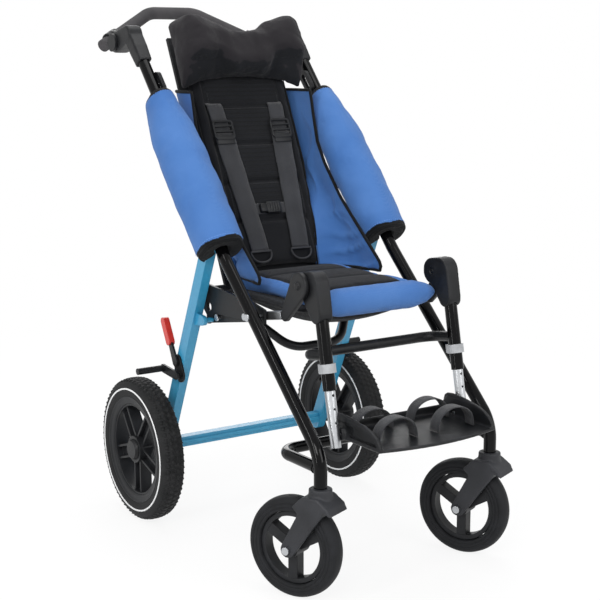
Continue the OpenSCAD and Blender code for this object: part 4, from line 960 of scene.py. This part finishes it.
for vertex in back.data.vertices:
    across, forward, up = back_place(vertex.co)
    if up < 0.12:
        up = 0.12 - (0.12 - up) * 1.4
    shoulder = clamp((up - 0.10) / 0.18) * clamp((back_head - up) / 0.10)
    edge = clamp((abs(across) - 0.085) / 0.03) * clamp((forward - 0.008) / 0.012)
    vertex.co = on_back(across * (1 + 0.05 * shoulder), min(forward, back_front) + 0.007 * shoulder * edge, up)
pressed(back, back_seam)
back.data.materials.append(black_cloth.material)
back.data.materials.append(blue_cloth.material)
for polygon in back.data.polygons:
    across, forward, up = back_place(polygon.center)
    if abs(across) > border_at(up) + 0.0008 and up < 0.44:
        polygon.material_index = 2
    elif abs(across) > panel_x or forward < 0.02 or up > quilt_lines[4] - 0.01 or up < quilt_lines[0] - 0.01:
        polygon.material_index = 1
back_skin = BVHTree.FromPolygons([v.co for v in back.data.vertices], [p.vertices[:] for p in back.data.polygons])


def on_skin(x, up, lift):
    """The point of the cushion's front where a line from straight ahead meets it, lifted off it."""
    hit = back_skin.ray_cast(on_back(x, 0.2, up), on_back(0, -1, 0) - on_back(0, 0, 0))[0]
    return on_back(x, back_place(hit)[1] + lift, up) if hit else on_back(x, 0.03, up)


binding = []
for side in (-1, 1):
    climb = [0.022 + 0.43 * k / 60 for k in range(61)]
    line = [on_skin(side * border_at(up), up, 0.0004) for up in climb]
    binding.append(piping("binding", line, 0.0026, black_tape, up=(1, 0, 0)))
piece("back_binding_tape", binding, "backrest")
sewing = [[on_skin(side * (panel_x - 0.007), 0.06 + 0.36 * k / 50, 0.0003) for k in range(51)] for side in (-1, 1)]
sewing += [[on_skin(-0.08 + 0.16 * k / 30, line - 0.005, 0.0003) for k in range(31)] for line in quilt_lines[:4]]
piece("back_stitches", [stitches(sewing, thread_black, 0.006, (0.004, 0.001, 0.001))], "backrest")

# Headrest: a butterfly pad of moulded foam in a stretched charcoal cover. Its wings come forward and rise at both
# sides, and its back is of black cloth. Its downward-facing underside is also given the darker black cloth, as painted
# shade.
soft_cloth = woven("charcoal_brushed_cloth", "#1d1b1e", "#2b292c", 0.0012, 0.1)
head = cushion("headrest", soft_cloth, "head_support", "black_fabric", 0.003, 0.0045, 0.005, 4.0, 0.02)


def head_crease(spot):
    across, forward, up = back_place(spot)
    if forward < 0.05:
        return 0.0
    fold = sin(across * 95 + up * 30) * dip(abs(across) - 0.06, 0.03) * 0.0022
    return fold + noise.noise(spot * 26) * 0.0022 + noise.noise(spot * 60) * 0.0009


head_foot = min(back_place(v.co)[2] for v in head.data.vertices)
for vertex in head.data.vertices:
    across, forward, up = back_place(vertex.co)
    above = clamp((up - head_foot) / 0.09)
    ahead = clamp((forward - 0.05) / 0.04)
    wing = clamp((abs(across) - 0.03) / 0.045)
    arch = 0.036 * wing * wing * (3 - 2 * wing) * ahead * (1 - above)
    ear = 0.004 * clamp((abs(across) - 0.05) / 0.05) * above
    vertex.co = on_back(across * 1.04, forward + 0.006 * ahead, up + arch + ear)
head.data.update()
pressed(head, head_crease)
head.data.materials.append(black_cloth.material)
# Painted shade: faces that point down take the darker black cloth so the underside looks shaded; faces at the back
# (forward < 0.045) are black cloth.
for polygon in head.data.polygons:
    forward = back_place(polygon.center)[1]
    if polygon.normal.dot(up_back) < -0.66 or forward < 0.045:
        polygon.material_index = 1

# Side panels: a blue cloth gusset fills the space between the back, the seat and each bolster. It is sewn to the
# back's black border below and to its edge above, hangs in soft folds, and its free edges are bound with tape.
panel_rows, panel_cols = 64, 40
panel_low, panel_top, panel_half_cloth = 0.545, 0.915, 0.0011
panel_front = [
    (0.520, -0.104), (0.540, -0.1150), (0.557, -0.1205), (0.567, -0.1150), (0.6215, -0.0510), (0.690, 0.0280),
    (0.760, 0.0890), (0.8046, 0.1170), (0.860, 0.1320), (0.895, 0.1400), (0.930, 0.1500),
]


def panel_point(side, run, rise, lift=0.0):
    """A point of the gusset: run goes from the back to the free front edge, rise from the seat to the top."""
    low = panel_low + 0.002 * run
    z = low + (panel_top - low) * rise
    climb = (z - 0.5291) / 0.9063
    high = clamp((z - 0.62) / 0.12)
    high = high * high * (3 - 2 * high)
    rear = (0.0163 + 0.4226 * climb) * (1 - high) + (0.0573 + 0.4663 * (z - 0.526)) * high
    after = next(i for i, (level, _) in enumerate(panel_front) if level >= z)
    (z0, y0), (z1, y1) = panel_front[after - 1], panel_front[after]
    front = y0 + (y1 - y0) * (z - z0) / (z1 - z0)
    y = rear + (front - rear) * run
    bend = min(1.0, run / 0.62)
    spread = 1 - (1 - bend) ** 2.2
    loose = sin(pi * min(1.0, run * 1.02)) ** 0.7
    wander = noise.noise(Vector((y * 14, z * 14, side))) * 1.6
    low_folds = 0.0125 * (1 - abs(sin(z * 82 + y * 20 + wander))) ** 2 * max(0.0, 1 - rise / 0.45)
    high_folds = 0.0055 * (1 - abs(sin(y * 46 - z * 20 + wander))) ** 3 * max(0.0, 1 - abs(rise - 0.45) / 0.5)
    drape = noise.noise(Vector((y * 9 + side, z * 22, 0.4))) * 0.002
    root = (border_at(climb) - 0.001) * (1 - high) + 0.134 * high
    x = root + (0.1487 - root) * spread + (drape - low_folds - high_folds) * loose
    return Vector((side * (min(x, 0.1512) + lift), y, z))


for side, label in both_sides:
    wide, tall = panel_cols + 1, panel_rows + 1
    layer = tall * wide
    points = [
        tuple(panel_point(side, col / panel_cols, row / panel_rows, lift))
        for lift in (panel_half_cloth, -panel_half_cloth) for row in range(tall) for col in range(wide)
    ]
    squares = [row * wide + col for row in range(panel_rows) for col in range(panel_cols)]
    squares += [layer + a for a in squares]
    faces = [(a, a + 1, a + wide + 1, a + wide) for a in squares]
    rim = [*range(wide)] + [row * wide + panel_cols for row in range(1, tall)]
    rim += [panel_rows * wide + col for col in range(panel_cols - 1, -1, -1)]
    rim += [row * wide for row in range(panel_rows - 1, 0, -1)]
    faces += [(a, b, b + layer, a + layer) for a, b in zip(rim, rim[1:] + rim[:1])]
    gusset = skinned("gusset", points, faces, blue_cloth)
    edge = [panel_point(side, k / 24, 0.0) for k in range(25)] + [panel_point(side, 1.0, k / 40) for k in range(1, 41)]
    edge += [panel_point(side, 1 - k / 10, 1.0) for k in range(1, 11)]
    tape = piping("panel_tape", edge, 0.0034, black_tape, up=(1, 0, 0))
    made, hem = placed(f"side_panel_cloth_{label}", gusset), placed(f"side_panel_tape_{label}", tape)
    for part, finish_slot in ((made, "blue_fabric"), (hem, "webbing")):
        for polygon in part.data.polygons:
            polygon.use_smooth = True
        tuple(on_back(side * 0.15, 0.172, 0.0))
        tuple(on_back(side * 0.15, 0.0156, 0.0277))
        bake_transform(part)
    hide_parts(f"side_panel_{label}")


# Harness: two shoulder straps and a chest strap of black webbing, with ladder-lock adjusters, steel D-rings and a
# side-release buckle of black nylon. The straps lie on the quilted back and pass into it at their upper ends.
webbing = Finish("black_harness_webbing", Specular_IOR_Level=0.3, Sheen_Weight=0.25, Sheen_Roughness=0.4)
lay = webbing.add("ShaderNodeUVMap", uv_map="strap")
lay_axes = [webbing.add("ShaderNodeSeparateXYZ", {0: lay}, out=i) for i in range(2)]
ribs = webbing.wave(lay_axes[0] * (2 * pi / 0.0022))
picks = webbing.wave(lay_axes[1] * (2 * pi / 0.0018) + ribs * 1.4)
webbing_tone = webbing.clear(webbing.grain(20, 4), 0.3, 0.75)
webbing.tint("#202124", "#3a3b3f", webbing_tone * 0.7 + picks * 0.15 + 0.1)
webbing.feed("Roughness", 0.66 + webbing_tone * 0.2)
webbing.relief(ribs * 0.5 + picks * 0.5, 0.0006, 0.6)


def strap(line, across, width, thick, narrowed=1.0):
    """A length of webbing along a line of points, with rounded edges, and its lay kept as a map in metres."""
    line = [Vector(p) for p in line]
    across = Vector(across).normalized()
    front = [(-0.5, 0.2), (-0.46, 0.5), (-0.25, 0.5), (0.0, 0.5), (0.25, 0.5), (0.46, 0.5), (0.5, 0.2)]
    profile = front + [(u, -v) for u, v in reversed(front)]
    rings, runs, total = [], [], 0.0
    for i, spot in enumerate(line):
        run = (line[min(i + 1, len(line) - 1)] - line[max(i - 1, 0)]).normalized()
        side = (across - run * across.dot(run)).normalized()
        over = run.cross(side)
        total += (spot - line[i - 1]).length if i else 0.0
        runs.append(total)
        here = width * (1 + (narrowed - 1) * i / (len(line) - 1))
        rings.append([spot + side * u * here + over * v * thick for u, v in profile])
    mesh = lofted("strap", rings, webbing)
    chart = mesh.uv_layers.new(name="strap")
    count = len(profile)
    for loop in mesh.loops:
        row, spot = divmod(loop.vertex_index, count)
        chart.data[loop.index].uv = (profile[spot][0] * width, runs[row])
    return mesh


strap_parts = []
for side in (-1, 1):
    upper = [on_back(side * 0.0765, 0.0355, 0.400), on_back(side * 0.0763, 0.0398, 0.393)]
    upper += [on_back(side * (0.076 - 0.0058 * k / 12), 0.0415, 0.387 - 0.071 * k / 12) for k in range(13)]
    strap_parts.append(strap(upper, (1, 0, 0), 0.037, 0.0024))
    lower = [
        on_back(side * (0.0715 - 0.0215 * k / 40), 0.0432 + 0.0007 * sin(k * 0.6), 0.330 - 0.268 * k / 40)
        for k in range(41)
    ]
    strap_parts.append(strap(lower, (1, 0, 0), 0.047, 0.003, 0.88))
chest = [on_back(-0.040 + 0.080 * k / 20, 0.0415, 0.155) for k in range(21)]
strap_parts.append(strap(chest, up_back, 0.024, 0.002))
piece("harness_webbing", strap_parts, "backrest", stands_for=("harness_straps",))

row, given = new_tree("rib_row", Count="Int", First="Vector", Step="Vector", Size="Vector", Finish="Material")
row_line = row.add("GeometryNodeMeshLine",
                   {"Count": given["Count"], "Start Location": given["First"], "Offset": given["Step"]})
row_rib = sized(row, given, "UVSphere", Segments=10, Rings=6, Radius=0.5)
row_tree = repeated(row, given, row_rib, Points=row_line)
lean_sin, lean_cos = sin(back_lean), cos(back_lean)
back_turn = Matrix(((1, 0, 0), (0, lean_sin, -lean_cos), (0, lean_cos, lean_sin)))


def back_stand(x, forward, up):
    """The matrix that lays something built flat, with Z forward, on the back."""
    return Matrix.Translation(on_back(x, forward, up)) @ back_turn.to_4x4()


def block(size, finish, edge):
    """A moulded block with rounded edges, centred on its own middle."""
    work = bmesh.new()
    bmesh.ops.create_cube(work, size=1.0)
    bmesh.ops.scale(work, vec=size, verts=work.verts)
    bmesh.ops.bevel(work, geom=work.edges[:], offset=edge, segments=3, profile=0.5, affect="EDGES")
    return to_mesh(work, "block", finish)


def frame_line(width, height, corner, steps=6):
    """A closed rounded rectangle in the flat."""
    line = []
    for cx, cy, first in ((1, 1, 0), (-1, 1, 1), (-1, -1, 2), (1, -1, 3)):
        middle = Vector((cx * (width / 2 - corner), cy * (height / 2 - corner), 0))
        for k in range(steps + 1):
            a = pi / 2 * (first + k / steps)
            line.append(middle + Vector((corner * cos(a), corner * sin(a), 0)))
    return line


buckle_forward, buckle_up = 0.0470, 0.155
hardware = []
for side in (-1, 1):
    lock = [piping("lock", frame_line(0.046, 0.040, 0.006), 0.0027, nylon, closed=True)]
    for offset in (-0.0035, 0.0085):
        bar = block((0.043, 0.0045, 0.0042), nylon, 0.0012)
        bar.transform(Matrix.Translation((0, offset, 0.0012)))
        lock.append(bar)
    lip = block((0.042, 0.020, 0.0032), nylon, 0.0014)
    lip.transform(Matrix.Translation((0, -0.022, -0.0005)) @ Matrix.Rotation(0.12, 4, "X"))
    lock.append(lip)
    for part in lock:
        part.transform(back_stand(side * 0.0718, 0.0475, 0.334))
    half_turn = [pi * k / 28 for k in range(29)]
    ring = [Vector((0.0245 * cos(a), -0.024 * sin(a) ** 0.7 - 0.001, 0)) for a in half_turn]
    loop = piping("ring", ring, 0.0022, cast_grey, closed=True)
    loop.transform(back_stand(side * 0.05, 0.0436, 0.062))
    hardware += lock + [loop]
for width, height, shift in ((0.036, 0.026, 0.004), (0.016, 0.020, -0.021)):
    shell = block((width, height, 0.010), nylon, 0.003)
    shell.transform(back_stand(shift, buckle_forward, buckle_up))
    hardware.append(shell)
ribs_made = from_tree(row_tree, Count=5, First=(-0.008, 0.0, 0.0046), Step=(0.006, 0.0, 0.0),
                      Size=(0.003, 0.021, 0.0036), Finish=nylon.material)
ribs_made.transform(back_stand(0.0, buckle_forward, buckle_up))
hardware.append(ribs_made)
piece("harness_fittings", hardware, "backrest", stands_for=("harness_hardware",))

# Foot loops: four arches of stiff black webbing over the footplate, their ends riveted down.
# They hold the front and the middle of each shoe.
loops = []
plate_z, loop_x, loop_half, loop_height = 0.298, 0.068, 0.043, 0.0415
arch_turns = [pi * k / 32 for k in range(33)]
for side in (-1, 1):
    for y in (-0.3825, -0.4565):
        arch = [
            Vector((side * loop_x + loop_half * cos(a), y, plate_z + 0.0015 + loop_height * sin(a) ** 0.8))
            for a in arch_turns
        ]
        loops.append(strap(arch, (0, 1, 0), 0.026, 0.0026))
piece("foot_loops", loops, "foot_support", stands_for=("foot_straps",))
